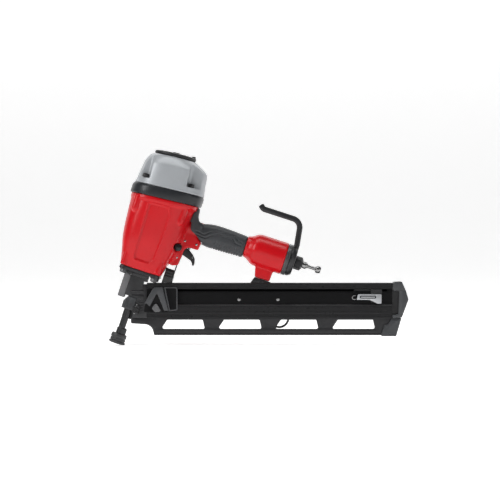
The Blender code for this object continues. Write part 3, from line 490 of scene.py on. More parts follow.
def material(look):
    """The procedural material of a look, made on first use."""
    found = bpy.data.materials.get(look)
    if found:
        return found
    facts = LOOKS[look]
    made = bpy.data.materials.new(look)
    made.use_nodes = True
    nodes = Nodes(made.node_tree)
    place = nodes.add("TexCoord")["Object"]
    drawn = nodes.add("Mapping", {"Vector": place, "Scale": facts.stretch})["Vector"]
    cloud = nodes.noise(place, 26.0, 4.0, 0.55)
    patch = nodes.noise(place, 160.0, 5.0, 0.65)
    fine = nodes.noise(drawn, facts.grain, 3.0, 0.6)
    pits = nodes.add("TexVoronoi", {"Vector": drawn, "Scale": facts.grain * 0.8})["Distance"]

    dark, light = (tuple(part * (1.0 + shift) for part in facts.colour)
                   for shift in (-facts.mottle, facts.mottle))
    shade = nodes.mix(nodes.span(nodes.blend(cloud, patch, 0.6), 0.35, 0.65, 0.0, 1.0), dark, light)
    worn = nodes.product(edge_wear(nodes, facts), nodes.span(patch, 0.40, 0.62, 0.15, 1.0))
    rough = nodes.span(nodes.blend(patch, fine, 0.65), 0.3, 0.7, facts.rough - facts.spread / 2,
                       facts.rough + facts.spread / 2)
    bump = nodes.add("Bump", {"Strength": 0.6, "Distance": facts.height * MM,
                              "Height": nodes.blend(fine, pits, 0.6)})["Normal"]
    nodes.fill(made.node_tree.nodes["Principled BSDF"], {
        "Base Color": nodes.mix(worn, shade, facts.worn), "Roughness": rough, "Normal": bump,
        "Metallic": facts.metal, "Specular IOR Level": facts.specular, "Coat Weight": facts.coat,
        "Coat Roughness": 0.16})
    return made


# ---------------------------------------------------------------- housing and grip
# Barrel sections: height, centre u, half length, half width, squareness, share of the seam's lean.
BARREL = [(GAP, 0.5, 38, 38, 5, 0), (9, 0, 40.5, 40, 4.6, 0), (25, 0, 44.4, 43.5, 3.9, 0),
          (58, 0.4, 52.6, 50.5, 3.2, 0.1), (95, 0.8, 56.8, 54, 2.9, 0.4), (123, 1.3, 59.3, 56.2, 2.7, 0.9)]
RIM = [(125.5, 1.6, 59.4, 56.3, 2.7, 0.95), (128.4, 2.7, 62, 58.2, 2.7, 1),
       (129.6, 2.7, 62.5, 58.5, 2.7, 1), (SEAM_W - GAP, 2.7, 62.5, 58.5, 2.7, 1)]
# Heights of the air space's sections with the furthest back that each may reach.
RESERVOIR = [(26, 38.5), (58, 38.5), (74, 38.5), (86, 60), (95, 60), (117, 60)]
WALL = 6.0
SIDE_PANEL = [(-19.2, 121, 2), (16.5, 123.4, 3), (21.2, 111.6, 6), (21.2, 82.4, 10), (17.6, 25.6, 6),
              (11.9, 16.5, 3), (-14.6, 16.5, 3), (-17.6, 23.8, 5)]
# Grip sections: u, lowest w, highest w, half width.
GRIP = [(60.5, 80, 122.5, 19.5), (66, 79.5, 118.5, 19), (73, 79.3, 116.3, 18.6), (80, 78.9, 116.2, 18.4),
        (90, 78.2, 118, 18.4), (102, 76.9, 120.2, 18.6), (115, 76.7, 121, 18.8), (130, 77, 120.8, 18.6),
        (148, 77.8, 120, 18.2), (160, 78.3, 119.3, 18.2), (166, 78.9, 118.6, 18), (168, 79.8, 117.8, 17.2)]
# Grooves moulded in the sides of the grip, as lines in the side view.
GRIP_LINES = [[(74, 99), (91, 97), (99, 104.5), (110, 111.5), (146, 112), (153, 106), (161, 104.5)],
              [(74, 93.5), (94, 91.5), (103, 99), (113, 106), (142, 106.5), (150, 99.5), (161, 98.5)]]
FINGER_RIBS = np.arange(112, 162, 4.8)


def rings_of(rows, swell=0):
    """Barrel rings in 3-D, each leaning with the seam by its own share."""
    rings = []
    for height, centre, half_u, half_v, power, lean in rows:
        rise = tan(radians(SEAM_TILT)) * lean
        section = squircle(half_u + swell, half_v + swell, power)
        rings.append([(centre + x, y, height + rise * (centre + x - SEAM_U)) for x, y in section])
    return rings


def barrel(swell=0):
    return loft(rings_of(smooth_rows(BARREL, 4) + RIM, swell))


def reservoir():
    rows = smooth_rows(BARREL, 1)
    rings = []
    for height, furthest in RESERVOIR:
        _, centre, half_u, half_v, power, _ = min(rows, key=lambda row: abs(row[0] - height))
        section = squircle(half_u - WALL, half_v - WALL, power, 48)
        rings.append([(min(centre + x, furthest), y, height) for x, y in section])
    return loft(rings)


def ears_outline():
    return rounded([(36, 104, 0), (64, 97.6, 3), (68, 95.3, 2), (78.7, 89.6, 4), (90, 81, 2),
                    (87.8, 66.4, 2), (69.5, 65.9, 4), (64.4, 60.4, 6), (61.3, 29.3, 3), (52, 25.3, 4),
                    (44, 26.6, 2), (36, 45, 0)])


def root_outline():
    return [(30, 70), (30, 112.3), (61, 112.3), (63.8, 99), (67.5, 96.1), (78.5, 90.3), (90.5, 81.8),
            (90.5, 66), (70, 66)]


def grip_core(swell=0):
    return loft([[(u, y, GRIP_W + z) for y, z in squircle(14.0 + swell, 16.0 + swell, 2.3, 48)]
                 for u in (40, 181)])


def housing_relief(points, normals):
    """Cast relief of the barrel: a sunk panel on each side with a raised edge round it."""
    side = ramp(np.abs(normals[:, 1]), 0.45, 0.75) * ramp(np.abs(points[:, 1]), 30, 34)
    outline = rounded(SIDE_PANEL)
    flat = points[:, [0, 2]]
    distance = line_distance(flat, outline + outline[:1])
    depth = np.where(inside(flat, outline), distance, -distance)
    return side * (0.7 * np.exp(-((depth + 1.7) / 1.3) ** 2) - 2.4 * ramp(depth, -0.9, 1.5))


def build_housing():
    flare = smooth_rows([(168.4, 19.4), (173, 20.2), (178.5, 23.2), (184.5, 27.4), (190, 29.3),
                         (196, BULGE_R), (241, BULGE_R), (BULGE_END, 28.9)], 2)
    flare = [(0, 168.4)] + [(radius, u) for u, radius in flare] + [(0, BULGE_END)]
    web = [(42, 30, 96, 23), (47, 31, 95, 18.5), (52.5, 33, 93, 14.6), (58, 36, 91, 12.5)]
    web = loft([[(u, y, (low + high) / 2 + z) for y, z in squircle(half, (high - low) / 2, 6, 48)]
                for u, low, high, half in web])
    leg = rounded([(190.5, 82, 3), (196.5, 72, 3), (201.6, 52.2, 0), (229.6, 52.2, 0), (230.6, 70, 3),
                   (235, 82, 3)])
    joins = [extrude(ears_outline(), -12.5, 12.5, ease=1.4), grip_core(), web,
             turned(flare, HANDLE_AXIS, "u", 96), extrude(leg, -10, 10, ease=2)]
    for place, (i, j) in zip(CAP_PLACES, FOUR_CORNERS):
        joins.append(ball_rod(7.6, 98, 130, place))
        joins.append(ball_rod(6.8, 1, 29, (31.5 * i, 33.4 * j, 0), round_low=False))
    cuts = [turned([(0, -5), (20, -5), (20, 8), (34, 8), (34, 74), (46, 86), (46, 160), (0, 160)]),
            reservoir(), rod(11.5, 36, 190, HANDLE_AXIS, "u"), rod(25, 188, 260, HANDLE_AXIS, "u"),
            box((43.8, -8.2, 20), (100, 8.2, 70)), rod(8.2, -60, -12.9, TRIGGER_PIVOT, "v"),
            rod(8.5, 60, GRIP_W, (VALVE_U, 0, 0)), rod(2.8, -30, 30, TRIGGER_PIVOT, "v")]
    piece = shape("housing_cast", barrel(), HEAD, joins, cuts, voxel=1.15, polish=5)
    sculpt(piece, HEAD, housing_relief)
    dress(piece, "red", "tool", "housing")


def grip_relief(points, normals):
    """Moulded grooves in the sides and finger ribs underneath."""
    u, v, w = points.T
    side = ramp(np.abs(normals[:, 1]), 0.25, 0.6) * ramp(u, 73, 76) * (1 - ramp(u, 162, 164))
    groove = np.zeros(len(u))
    for line in GRIP_LINES:
        groove = np.maximum(groove, np.exp(-(line_distance(points[:, [0, 2]], line) / 1.15) ** 2))
    ribs = np.zeros(len(u))
    for place in FINGER_RIBS:
        lean = u - 0.08 * (w - 78)
        ribs = np.maximum(ribs, np.exp(-((lean - place) / 1.1) ** 2))
    below = 1 - ramp(w, 88, 95)
    outer = np.minimum(ramp(np.abs(v), 16, 17) + ramp(np.abs(w - GRIP_W), 17.5, 18.5), 1)
    return -1.5 * groove * side - 1.3 * ribs * below * outer


def build_grip():
    rows = smooth_rows(GRIP, 2)
    sleeve = loft([[(u, y, (low + high) / 2 + z) for y, z in squircle(half, (high - low) / 2, 2.5, 64)]
                   for u, low, high, half in rows])
    neck = rounded([(50, 139.5, 0), (68.3, 141, 0), (70.2, 124, 8), (74.5, 116.9, 4), (84, 115, 0),
                    (84, 96, 0), (50, 96, 0)])
    piece = shape("grip_moulded", sleeve, HEAD, [extrude(neck, -19, 19, ease=4)],
                  [barrel(GAP), extrude(root_outline(), -30, 30), grip_core(GAP)], voxel=0.75, polish=4)
    sculpt(piece, HEAD, grip_relief)
    dress(piece, "rubber", "tool", "grip_sleeve")


# ---------------------------------------------------------------- cap group
# Cap sections above the seam: height, centre u, half length, half width, squareness.
CAP = [(24, 3.6, 63.6, 59, 2.6), (40, 4.4, 61.4, 57.4, 2.6), (59.5, 5.6, 58.8, 55, 2.6),
       (66, 3.8, 54.8, 51.6, 2.5), (71.5, 1.3, 49, 47.5, 2.4), (76, -0.6, 44, 43.5, 2.2),
       (78.3, -0.6, 40.2, 40.2, 2.1)]
CAP_LIP = [(19.5, 3.3, 64.4, 59.5, 2.6), (22.6, 3.4, 64.4, 59.5, 2.6)]
# The air space round the cylinder inside the cap, as a turned profile.
CAVITY = [(0, 100), (46, 100), (46, 160), (43, 174), (34, 180), (34, 192), (0, 192)]


def build_cap():
    rows = CAP_LIP + smooth_rows(CAP, 2.5)
    cap = loft([[(centre + x, y, z) for x, y in squircle(half_u, half_v, power)]
                for z, centre, half_u, half_v, power in rows])
    cuts = [(turned(CAVITY), HEAD), rod(3.7, 62, 90)]
    for place, (i, j) in zip(CAP_PLACES, FOUR_CORNERS):
        notch = rounded([(CAP_NOTCH * i, CAP_NOTCH * j, 7), (90 * i, CAP_NOTCH * j, 0), (90 * i, 90 * j, 0),
                         (CAP_NOTCH * i, 90 * j, 0)])
        cuts += [extrude(notch, 30.5, 120, "w"), rod(3.3, 10, 40, place, steps=20)]
    for k in range(3):
        cuts.append(rod(5, 45, 90, (20.0 * cos(2 * pi * k / 3), 20.0 * sin(2 * pi * k / 3), 0)))
    dress(shape("cap_shell", cap, SEAM, cuts=cuts, voxel=0.85, polish=2), "grey", "tool", "cylinder_cap")


def build_ring_band():
    rows = [(0, 0.6, 65, 59.8), (0.9, 0.6, 66.1, 60.7), (2.2, 0.6, 66.4, 61), (13.6, 1.7, 66.6, 61.2),
            (15.6, 1.9, 66.3, 60.9), (18.2, 2.5, 65, 60), (19.2, 2.6, 64.3, 59.4)]
    band = loft([[(centre + x, y, z) for x, y in squircle(half_u, half_v, 2.6, 128)]
                 for z, centre, half_u, half_v in rows])
    cuts = [(turned(CAVITY), HEAD)]
    cuts += [rod(3.3, -5, 40, place, steps=20) for place in CAP_PLACES]
    dress(shape("ring_band", band, SEAM, cuts=cuts), "band", "tool", "head_ring")


def build_cap_screws():
    profile = [(0, -12), (3, -12), (3, 30.8), (5.1, 30.8), (5.5, 31.2), (5.5, 37), (5.3, 37.4), (4.9, 37.6),
               (0, 37.6)]
    for number, place in enumerate(CAP_PLACES, 1):
        socket = extrude(six_points(2.9, *place[:2]), 34.4, 40, "w")
        dress(shape(f"cap_screw_{number}", turned(profile, place, steps=40), SEAM, cuts=[socket],
                    ease=0.15), "steel_black", "tool", f"cap_bolt_{number}")


def build_deflector():
    profile = [(4.2, 78.6), (9, 78.6), (10, 82), (29, 82), (31, 78.6), (37.6, 79.4), (38.3, 80), (38.6, 81),
               (38.6, 83.4), (38.2, 84.2), (36.8, 85.2), (34.2, 85.7), (33.6, 85.2), (31.6, 85.4),
               (31, 86.1), (12, 87), (9, 86.6), (8.5, 85), (4.2, 85)]
    cuts = [box((14, -11, 77), (60, 11, 83.6))]
    for k in range(20):
        turn = Matrix.Rotation(2 * pi * k / 20, 4, "Z")
        cuts.append((box((16.5, -1.1, 85.4), (28.5, 1.1, 90)), SEAM @ turn))
    nub = box((29.5, -4.5, 84), (36.4, 4.5, 88.4), 0.8)
    disc = shape("deflector_disc", turned(profile, steps=240), SEAM, [nub], cuts, ease=0.2)

    def teeth(points, normals):
        x, y, z = points.T
        return 0.32 * np.cos(60 * np.arctan2(y, x)) * (np.hypot(x, y) > 37.9) * (np.abs(z - 82.2) < 1.6)

    sculpt(disc, SEAM, teeth)
    dress(disc, "black", "deflector", "exhaust_deflector")


def build_deflector_screw():
    profile = [(0, 64), (3.4, 64), (3.4, 85.3), (6.1, 85.3), (6.4, 85.6), (6.4, 88), (6.1, 88.5), (0, 88.6)]
    socket = extrude(six_points(3), 86, 90, "w")
    dress(shape("deflector_screw", turned(profile, steps=48), SEAM, cuts=[socket], ease=0.15),
          "steel_black", "tool", "deflector_bolt")


# ---------------------------------------------------------------- nose
def build_nose_casting():
    plate = rounded([(-37.5, -37.5, 9), (37.5, -37.5, 9), (37.5, 37.5, 9), (-37.5, 37.5, 9)])
    front = MAG_FRONT + 0.6
    adapter = [(HEAD_X - 5, 112.5), (front, 112.5), (front, 51.2), (-230.6, 51.2)]
    joins = [rod(19.6, -1, 8.2, steps=64), box((-14.6, -12, -51), (12, 12, -5), 1.2),
             extrude([(-14, -5.4), (20, -5.4), (13, -13), (-12, -13)], -15, 15, ease=1.2),
             (extrude(adapter, -11.8, 11.8, ease=1), TOOL), box((9, -11.6, -18), (18, 11.6, -5), 1),
             box((-24, -10, -12.5), (-12, 10, -5), 0.6)]
    for low, high in ((84.5, 93.5), (98.5, 101.5)):
        joins.append((box((-230.5, -13.4, low), (-208.6, 13.4, high), 0.7), TOOL))
    channel = [(HEAD_X, 106), (MAG_FRONT + 5, 106), (MAG_FRONT + 5, 45), (-238, 45)]
    cuts = [box((-20, -20, -95), (9.4, 20, -51)), rod(4.3, -130, 20, steps=32),
            (extrude(channel, -3.2, 3.2), TOOL), box((-20, -9.2, -57), (-13, 9.2, -12))]
    for x in (-226, -220, -214):
        cuts += [(rod(1.7, low, low + 2.4, (x, 0, 89), "v", 20), TOOL) for low in (-15, 12.6)]
    for z in (79, 74, 69, 64, 59):
        cuts += [(slit, TOOL) for slit in both_sides((-229, 11, z), (-209, 13, z + 1.6))]
    joins += [rod(9.2, -5.5, -3, place, steps=40) for place in NOSE_PLACES]
    cuts += [rod(4.1, -10, 5, place, steps=24) for place in NOSE_PLACES]
    nose = shape("nose_frame", extrude(plate, -5.5, 0, "w", 0.9), HEAD, joins, cuts, ease=0.3)
    lugs = [box((9.6, -23.5, low), (19, -11, low + 3), 0.5) for low in (DEPTH_W + 4.2, DEPTH_W - 7.3)]
    cuts = [rod(4.3, -130, 20, steps=32), box((0, -3.2, -130), (30, 3.2, -50)),
            rod(1.8, DEPTH_W - 15, DEPTH_W + 15, DEPTH_PLACE, steps=20)]
    tube = shape("nose_tube", rod(5.8, -108, -50, steps=48), HEAD, lugs, cuts, ease=0.25)
    dress(joined(nose, tube), "steel_black", "tool", "nose_casting")


def build_nose_screws():
    for number, place in enumerate(NOSE_PLACES, 1):
        head, chamfer = hexagon(12, -13.6, -7.2, place)
        washer = rod(7.6, -7.3, -5.8, place, steps=48, ease=0.3)
        bolt = shape(f"nose_screw_{number}", head, HEAD, meets=[chamfer])
        shank = shape("shank", rod(3.8, -6.5, 18, place, steps=24), HEAD, [washer])
        dress(joined(bolt, shank), "bolt", "tool", f"nose_bolt_{number}")


def build_nose_fin():
    guard = rounded([(-26.5, -56.7, 2), (-26.5, -12.8, 2.5), (-13.8, -12.8, 6), (-13.8, -56.7, 1)])
    dress(shape("nose_fin", extrude(guard, -11, 11, ease=1.6), HEAD), "fin", "tool", "nose_guard")


def build_guide_block():
    guide = rounded([(-13, -75, 1), (-13, -62, 2), (-7, -51.3, 4), (9, -51.3, 1), (9, -75, 1)])
    cuts = [rod(8.2, -80, -45, steps=48), box((0, -8.2, -80), (20, 8.2, -45))]
    for u in (-8.5, -4.5):
        cuts += both_sides((u, 10.9, -72.5), (u + 1.5, 13, -56))
    dress(shape("guide_block", extrude(guide, -12, 12, ease=0.8), HEAD, cuts=cuts, ease=0.2), "plastic",
          "tool", "shank_guide")


def build_depth_wheel():
    profile = [(1.8, -3.9), (5.4, -3.9), (6.2, -3.2), (6.2, 3.1), (5.4, 3.8), (1.8, 3.8)]
    wheel = shape("adjuster_wheel", turned([(r, DEPTH_W + h) for r, h in profile], DEPTH_PLACE, steps=120),
                  HEAD)

    def knurl(points, normals):
        out, side = points[:, 0] - DEPTH_PLACE[0], points[:, 1] - DEPTH_PLACE[1]
        return 0.35 * (np.cos(20 * np.arctan2(side, out)) - 1) * (np.hypot(out, side) > 5.9)

    sculpt(wheel, HEAD, knurl)
    dress(wheel, "black", "depth_adjuster", "depth_wheel")


def build_contact_shank():
    outer = []
    for angle in np.radians(np.linspace(54, 306, 169)):
        radius = 7.6 - 0.4 * ramp(cos(12 * angle), 0, 0.8)
        outer.append((radius * cos(angle), radius * sin(angle)))
    inner = [(6.1 * cos(a), 6.1 * sin(a)) for a in np.radians(np.linspace(90, 270, len(outer)))]
    collar = [(6.1, -122.6), (8.8, -122.6), (9.2, -122.2), (9.2, -112.6), (8.4, -111.6), (7.6, -111),
              (6.1, -111)]
    shank = joined(shape("shank_tube", turned(collar, steps=96), HEAD),
                   shape("fluted", trough(outer, inner, -111, -76), HEAD))
    dress(shank, "steel_black", "work_contact", "contact_shank")


def build_foot_pad():
    rows = [(13, 0), (15, 1), (15.4, 3), (14.6, 4.4), (13.2, 5.2), (13.4, 6.2), (14.4, 7), (14.4, 8.6),
            (13.2, 9.6), (13.2, 10.6), (14.2, 11.6), (14.4, 14), (13.9, 16.4), (13.6, 18.2), (12.9, 18.5)]
    profile = [(6.6, PAD_LOW)] + [(radius, PAD_LOW + height) for radius, height in rows] + [(6.6, -122.9)]
    notches = []
    for k in range(8):
        turn = Matrix.Translation((-1.6, 0, 0)) @ Matrix.Rotation(2 * pi * (k + 0.5) / 8, 4, "Z")
        notches.append((box((9.5, -1.3, PAD_LOW - 2), (20, 1.3, PAD_LOW + 2.2)), HEAD @ turn))
    dress(shape("foot_pad", turned(profile, (-1.6, 0, 0)), HEAD, cuts=notches, ease=0.2), "pad",
          "work_contact", "no_mar_pad")


def build_trip_arm():
    strap = rounded([(-9, -93, 2), (-9, -50, 2), (44, -50, 8), (50, 7, 3), (60.5, 7, 0), (60.5, -52, 8),
                     (12, -62, 4), (9, -93, 2)])
    joins = [box((58.4, -4, -3), (60.4, 18.5, 6.5)), box((58.4, -4, -3), (60.4, 4, 46)),
             box((-6.5, 7.9, -92.6), (6.5, 18.5, -90))]
    dress(shape("trip_arm", extrude(strap, 17.3, 19.8), HEAD, joins, ease=0.4), "steel_black",
          "work_contact", "contact_arm")


def magazine_height(u):
    """Head-frame height of the magazine's top face at a place along the handle."""
    return (RAIL_TOP - HEAD_Z + u * sin(radians(HEAD_TILT))) / cos(radians(HEAD_TILT))


def build_arm_guide():
    strut = [(43, -12), (59.5, -12), (59.5, -9.5), (45.6, -9.5), (45.6, 12), (43, 12)]
    below = [(30, magazine_height(30) + GAP), (80, magazine_height(80) + GAP), (80, -60), (30, -60)]
    ribs = [box((44.5, -12.6, w), (58, -11.5, w + 1.6), 0.3) for w in (3, 8, 13)]
    dress(shape("arm_sleeve", extrude(strut, -14, 18.7, "w"), HEAD, ribs, [extrude(below, -40, 40)],
                ease=0.5), "black", "tool", "arm_guide")


# ---------------------------------------------------------------- trigger group
def build_trigger():
    outline = rounded([(46.2, 55, 5), (46.2, 66.4, 5), (60, 66.8, 3), (68, 63.8, 4), (75.5, 60, 4),
                       (82.5, 55, 5), (87.4, 49, 5), (89.2, 42, 4), (89, 36.6, 0.8), (86, 37, 0.8),
                       (84.6, 41, 4), (80.5, 44.6, 4), (73.2, 46.7, 4), (65.9, 49, 3), (60, 51, 3),
                       (52, 53.6, 0)])
    hollow = [(66, 75), (66, 53), (74, 50.6), (84.8, 47.6), (88, 50), (88, 75)]
    cuts = [box((40, -4.6, 40), (66.5, 4.6, 75)), extrude(hollow, -4.6, 4.6),
            rod(2.8, -20, 20, TRIGGER_PIVOT, "v"), rod(1.6, -20, 20, LEVER_PIVOT, "v")]
    dress(shape("trigger_blade", extrude(outline, -7.6, 7.6, ease=1.3), HEAD, cuts=cuts), "black",
          "trigger_unit", "trigger")


def build_contact_lever():
    lever = rounded([(57.5, 57.5, 0.8), (57.5, 60.3, 1.2), (71, 57.2, 0), (84.6, 53.4, 2), (85, 48.6, 1.2),
                     (80.6, 49.4, 2), (66, 56, 3)])
    dress(shape("contact_lever", extrude(lever, -3.6, 3.6), HEAD,
                cuts=[rod(1.6, -20, 20, LEVER_PIVOT, "v")], ease=0.3), "steel", "lever", "trigger_lever")
    dress(shape("lever_axle", rod(1.3, -7.9, 7.9, LEVER_PIVOT, "v", ease=0.3), HEAD), "steel",
          "trigger_unit", "lever_pin")


def build_mode_knob():
    knob = [(0, -20.5), (4.9, -20.5), (6.1, -20.1), (6.8, -19.2), (6.8, -13.2), (2.5, -13.2), (2.5, 14.6),
            (0, 14.6)]
    pu, _, pw = TRIGGER_PIVOT
    cuts = [box((pu - 8, -22, low), (pu + 8, -18.9, low + 6.1)) for low in (pw + 1.9, pw - 8)]
    dress(shape("mode_knob", turned(knob, TRIGGER_PIVOT, "v"), HEAD, cuts=cuts, ease=0.3), "black",
          "selector", "selector_knob")


def build_bracket_pins():
    for number, (u, w) in enumerate(PIN_PLACES, 1):
        half = [(1.45, 12.2), (2.1, 12.3), (2.1, 12.9), (1.5, 13.3), (0, 13.4)]
        profile = [(radius, -height) for radius, height in half[::-1]] + half
        dress(shape(f"ear_pin_{number}", turned(profile, (u, 0, w), "v", 32), HEAD), "steel", "tool",
              f"bracket_pin_{number}")


# ---------------------------------------------------------------- handle end, hook and air inlet
def build_end_cap():
    rows = [(27.9, 244.3), (28.9, 244.6), (29.3, 245.4), (29.3, 246.6), (28.7, 247), (28.7, 247.6),
            (29.3, 248), (29.3, 249.2), (28.7, 249.6), (28.7, 250.1), (29.3, 250.5), (29.1, 251.1),
            (28.4, 251.6)]
    profile = [(6.4, 244.3)] + rows + [(11, 251.6), (11, 263), (6.4, 263)]
    # The end cap's grey is its black plastic brightened with painted sheen for the highlights on its
    # ridges.
    dress(shape("inlet_cap", turned(profile, HANDLE_AXIS, "u", 96), HEAD), "ribbed_painted_sheen", "tool", "end_cap")


def build_hook():
    hub = [(11.35, 252), (27, 252), (27.9, 252.6), (28.2, 253.6), (27.8, 256.4), (27, 258), (24.6, 262),
           (23.6, 262.6), (11.35, 262.6)]
    corners = [(257.6, 115, 0), (257.3, 132, 20), (250.6, 175.6, 17), (178.5, 175.6, 8), (171.6, 181.4, 0)]
    arm = extrude(thick_line(rounded(corners, 6), 5.2), -6.2, 6.2, ease=2.6)
    inner = thick_line(rounded([(257.2, 128, 0), (255.9, 141, 30), (252.6, 162.5, 0)], 6), 1.9)
    slots = [extrude(inner, low, low + 2.6) for low in (-7.2, 4.6)]
    ribs = [turned([(27.9, 253.4), (28.6, 253.4), (28.6, 254.4), (27.9, 254.4)], HANDLE_AXIS, "u", 96)]
    hook = shape("hook_body", turned(hub, HANDLE_AXIS, "u", 96), HEAD, [arm],
                 slots + ribs + [rod(11.35, 240, 270, HANDLE_AXIS, "u", 64)])
    dress(hook, "steel_black", "hook", "belt_hook")


def build_inlet():
    nut, chamfer = hexagon(22, 263.4, 278, HANDLE_AXIS, "u", flip=True)
    dress(shape("hex_nut", nut, HEAD, meets=[chamfer], cuts=[rod(7.1, 250, 290, HANDLE_AXIS, "u")]),
          "steel_black", "tool", "inlet_nut")
    plug = [(2, 256), (6.1, 256), (6.1, 279), (6.8, 279.4), (6.8, 284.4), (6.3, 285), (5.6, 285.2),
            (5.2, 286.2), (4, 287.4), (3.3, 288.4), (3.3, 301.2), (3.8, 302.4), (5, 303.4), (6.4, 304),
            (6.9, 304.8), (6.9, 309.2), (6.4, 310.4), (5.4, 312.4), (4.9, 312.8), (2, 312.8)]
    dress(shape("inlet_plug", turned(plug, HANDLE_AXIS, "u", 64), HEAD), "steel", "tool", "air_plug")


# ---------------------------------------------------------------- magazine
# Half of the extrusion's section, top to bottom: half width, height.
SECTION = [(0, 115.1), (13.4, 115.1), (14.3, 114.4), (14.3, 112.6), (15, 112.2), (15, 109), (14.4, 108.7),
           (14.4, 107.9), (15, 107.6), (15, 105.1), (14.4, 104.5), (10.5, 103.9), (10.5, 98.2),
           (10.9, 97.8), (10.9, 96.9), (10.5, 96.5), (10.5, 78.4), (10.9, 78), (10.9, 76.4), (11.4, 75.6),
           (14, 75), (14.5, 74.4), (14.5, 72.2), (14.05, 71.9), (14.05, 71.3), (14.5, 71), (14.5, 63.4),
           (14.05, 63.1), (14.05, 62.5), (14.5, 62.2), (14.5, 60.1), (14, 59.5), (12.9, 58.9), (12.6, 58.4),
           (12.6, 55.2), (12.2, 54.9), (12.2, 54.2), (12.6, 53.9), (12.6, 51.3), (12.1, 50.7), (3.2, 50.7),
           (3.2, 97), (6, 98.5), (6, 107.5)]


def build_rail():
    outline = SECTION[1:] + [(-y, z) for y, z in SECTION[:0:-1]]
    cuts = [box((-150, -30, 99.4), (236, -4, 103.6))]
    for x in SCREW_PLACES:
        cuts.append(turned([(0, -12), (3.9, -12), (3.6, -10.2), (3.6, -9.4), (2.2, -8.2), (2.2, -5),
                            (0, -5)], (x, 0, SCREW_Z), "v", 40))
    rail = shape("magazine_rail", extrude(outline, MAG_FRONT, MAG_REAR, "u"), TOOL, cuts=cuts, sharp=20)
    dress(rail, "anodised", "tool", "magazine_body")
    # The faces of the sunk panel get painted shade: a darker look where shade falls in the recess.
    inlay(rail, "painted_recess_shade", lambda centre, normal: abs(centre.y) < 11.0 and 77.0 < centre.z < 104)


def build_rail_screws():
    for number, x in enumerate(SCREW_PLACES, 1):
        screw = turned([(0, -10.1), (2.4, -10.1), (3, -9.8), (3.2, -9.4), (1.9, -8.4), (1.9, -5.4),
                        (0, -5.4)], (x, 0, SCREW_Z), "v", 40)
        socket = extrude(six_points(1.4, x, SCREW_Z), -12, -9)
        dress(shape(f"rail_screw_{number}", screw, TOOL, cuts=[socket]), "steel", "tool",
              f"magazine_screw_{number}")


def build_point_guard():
    top = BODY_LOW + 0.6
    outline = rounded([(-232.4, 41, 3), (-232.4, top, 0), (244.6, top, 0), (237.4, 40.2, 0), (231, 38.9, 0),
                       (225.2, 20.9, 0), (225.2, GUARD_LOW, 0), (-189.8, GUARD_LOW, 1.5),
                       (-194.5, 38.6, 16)])
    cuts = [box((-260, -3.2, 23), (260, 3.2, 80)), (rod(12, -120, -60, steps=48), HEAD)]
    for x in np.arange(4) * 104.0 - 177.7:
        window = rounded([(x, 30.4, 3), (x + 80.5, 30.4, 3), (x + 76.6, 47.6, 3), (x + 11.5, 47.6, 3)])
        cuts.append(extrude(window, -30, 30))
    cuts += both_sides((-230, 5.9, 22.9), (230, 8, 23.7))
    dress(shape("point_guard", extrude(outline, -6.4, 6.4), TOOL, cuts=cuts, ease=0.55), "guard", "tool",
          "nail_guard")


def build_sling_wire():
    turns = [pi * (0.06 + 0.88 * k / 40) for k in range(41)]
    path = [Vector((39.0 + 17.0 * cos(a), 10, 50.4 - 17.0 * sin(a))) for a in turns]
    dress(shape("sling_wire", wire(path, 2), TOOL, sharp=60), "steel_black", "tool", "wire_loop")


def build_latch_bracket():
    legs = rounded([(-202.9, 77.9, 1), (-207.7, 76.3, 1), (-197.8, 94.5, 0), (-189.9, 106.8, 2),
                    (-174, 108.4, 3), (-163.4, 64.6, 1), (-171, 64.4, 0), (-184.2, 97.5, 2), (-197, 72, 1)])
    web = rounded([(-208, 62, 2), (-205, 80, 0), (-186, 104, 0), (-176, 104, 0), (-164.5, 62, 2)])
    opening = rounded([(-185.9, 81.6, 3), (-195.8, 68, 3), (-188, 60.4, 1), (-173.6, 61.2, 2)])
    bracket = shape("latch_bracket", extrude(legs, -19.4, -15.3, ease=1.1), TOOL,
                    [extrude(web, -16.8, -15.3)], [extrude(opening, -30, -10)], ease=0.2)
    dress(bracket, "plastic", "tool", "front_bracket")
    # Faces set back behind the front of the legs get painted shade: a darker look where shade falls between
    # them.
    inlay(bracket, "painted_recess_shade", lambda centre, normal: centre.y > -16.9)


def build_latch_button():
    button = rounded([(-185.9, 79.6, 3), (-193.6, 68.6, 3), (-187.4, 62.2, 2), (-176, 63, 2.5)])
    pad = shape("latch_pad", extrude(button, -19.1, -16.3, ease=0.9), TOOL, voxel=0.35, polish=2)

    def ribs(points, normals):
        across = points[:, 2] - 0.62 * points[:, 0]
        return -0.60 * (1 + np.cos(2 * pi * across / 3.1)) * ramp(-normals[:, 1], 0.5, 0.9)

    sculpt(pad, TOOL, ribs)
    dress(pad, "fin", "latch", "latch_button")


def build_side_plate():
    plate = rounded([(-172, 107.6, 2), (-148.4, 107.6, 2), (-146.6, 104, 1), (-146.6, 65, 3),
                     (-163, 63.6, 2)])
    inner = rounded([(-168.6, 105.6, 1), (-150, 105.6, 1), (-148.8, 103, 1), (-148.8, 67, 2),
                     (-160.4, 65.8, 1)])
    side = shape("side_plate", extrude(plate, -17.2, -15.3, ease=0.5), TOOL,
                 cuts=[extrude(inner, -20, -16.4)], ease=0.2)
    dress(side, "plastic", "tool", "front_plate")
    # The floor inside the plate's border gets painted shade: a darker look where shade falls in the recess.
    inlay(side, "painted_recess_shade", lambda centre, normal: abs(centre.y + 16.4) < 0.15 and normal.y < -0.9)


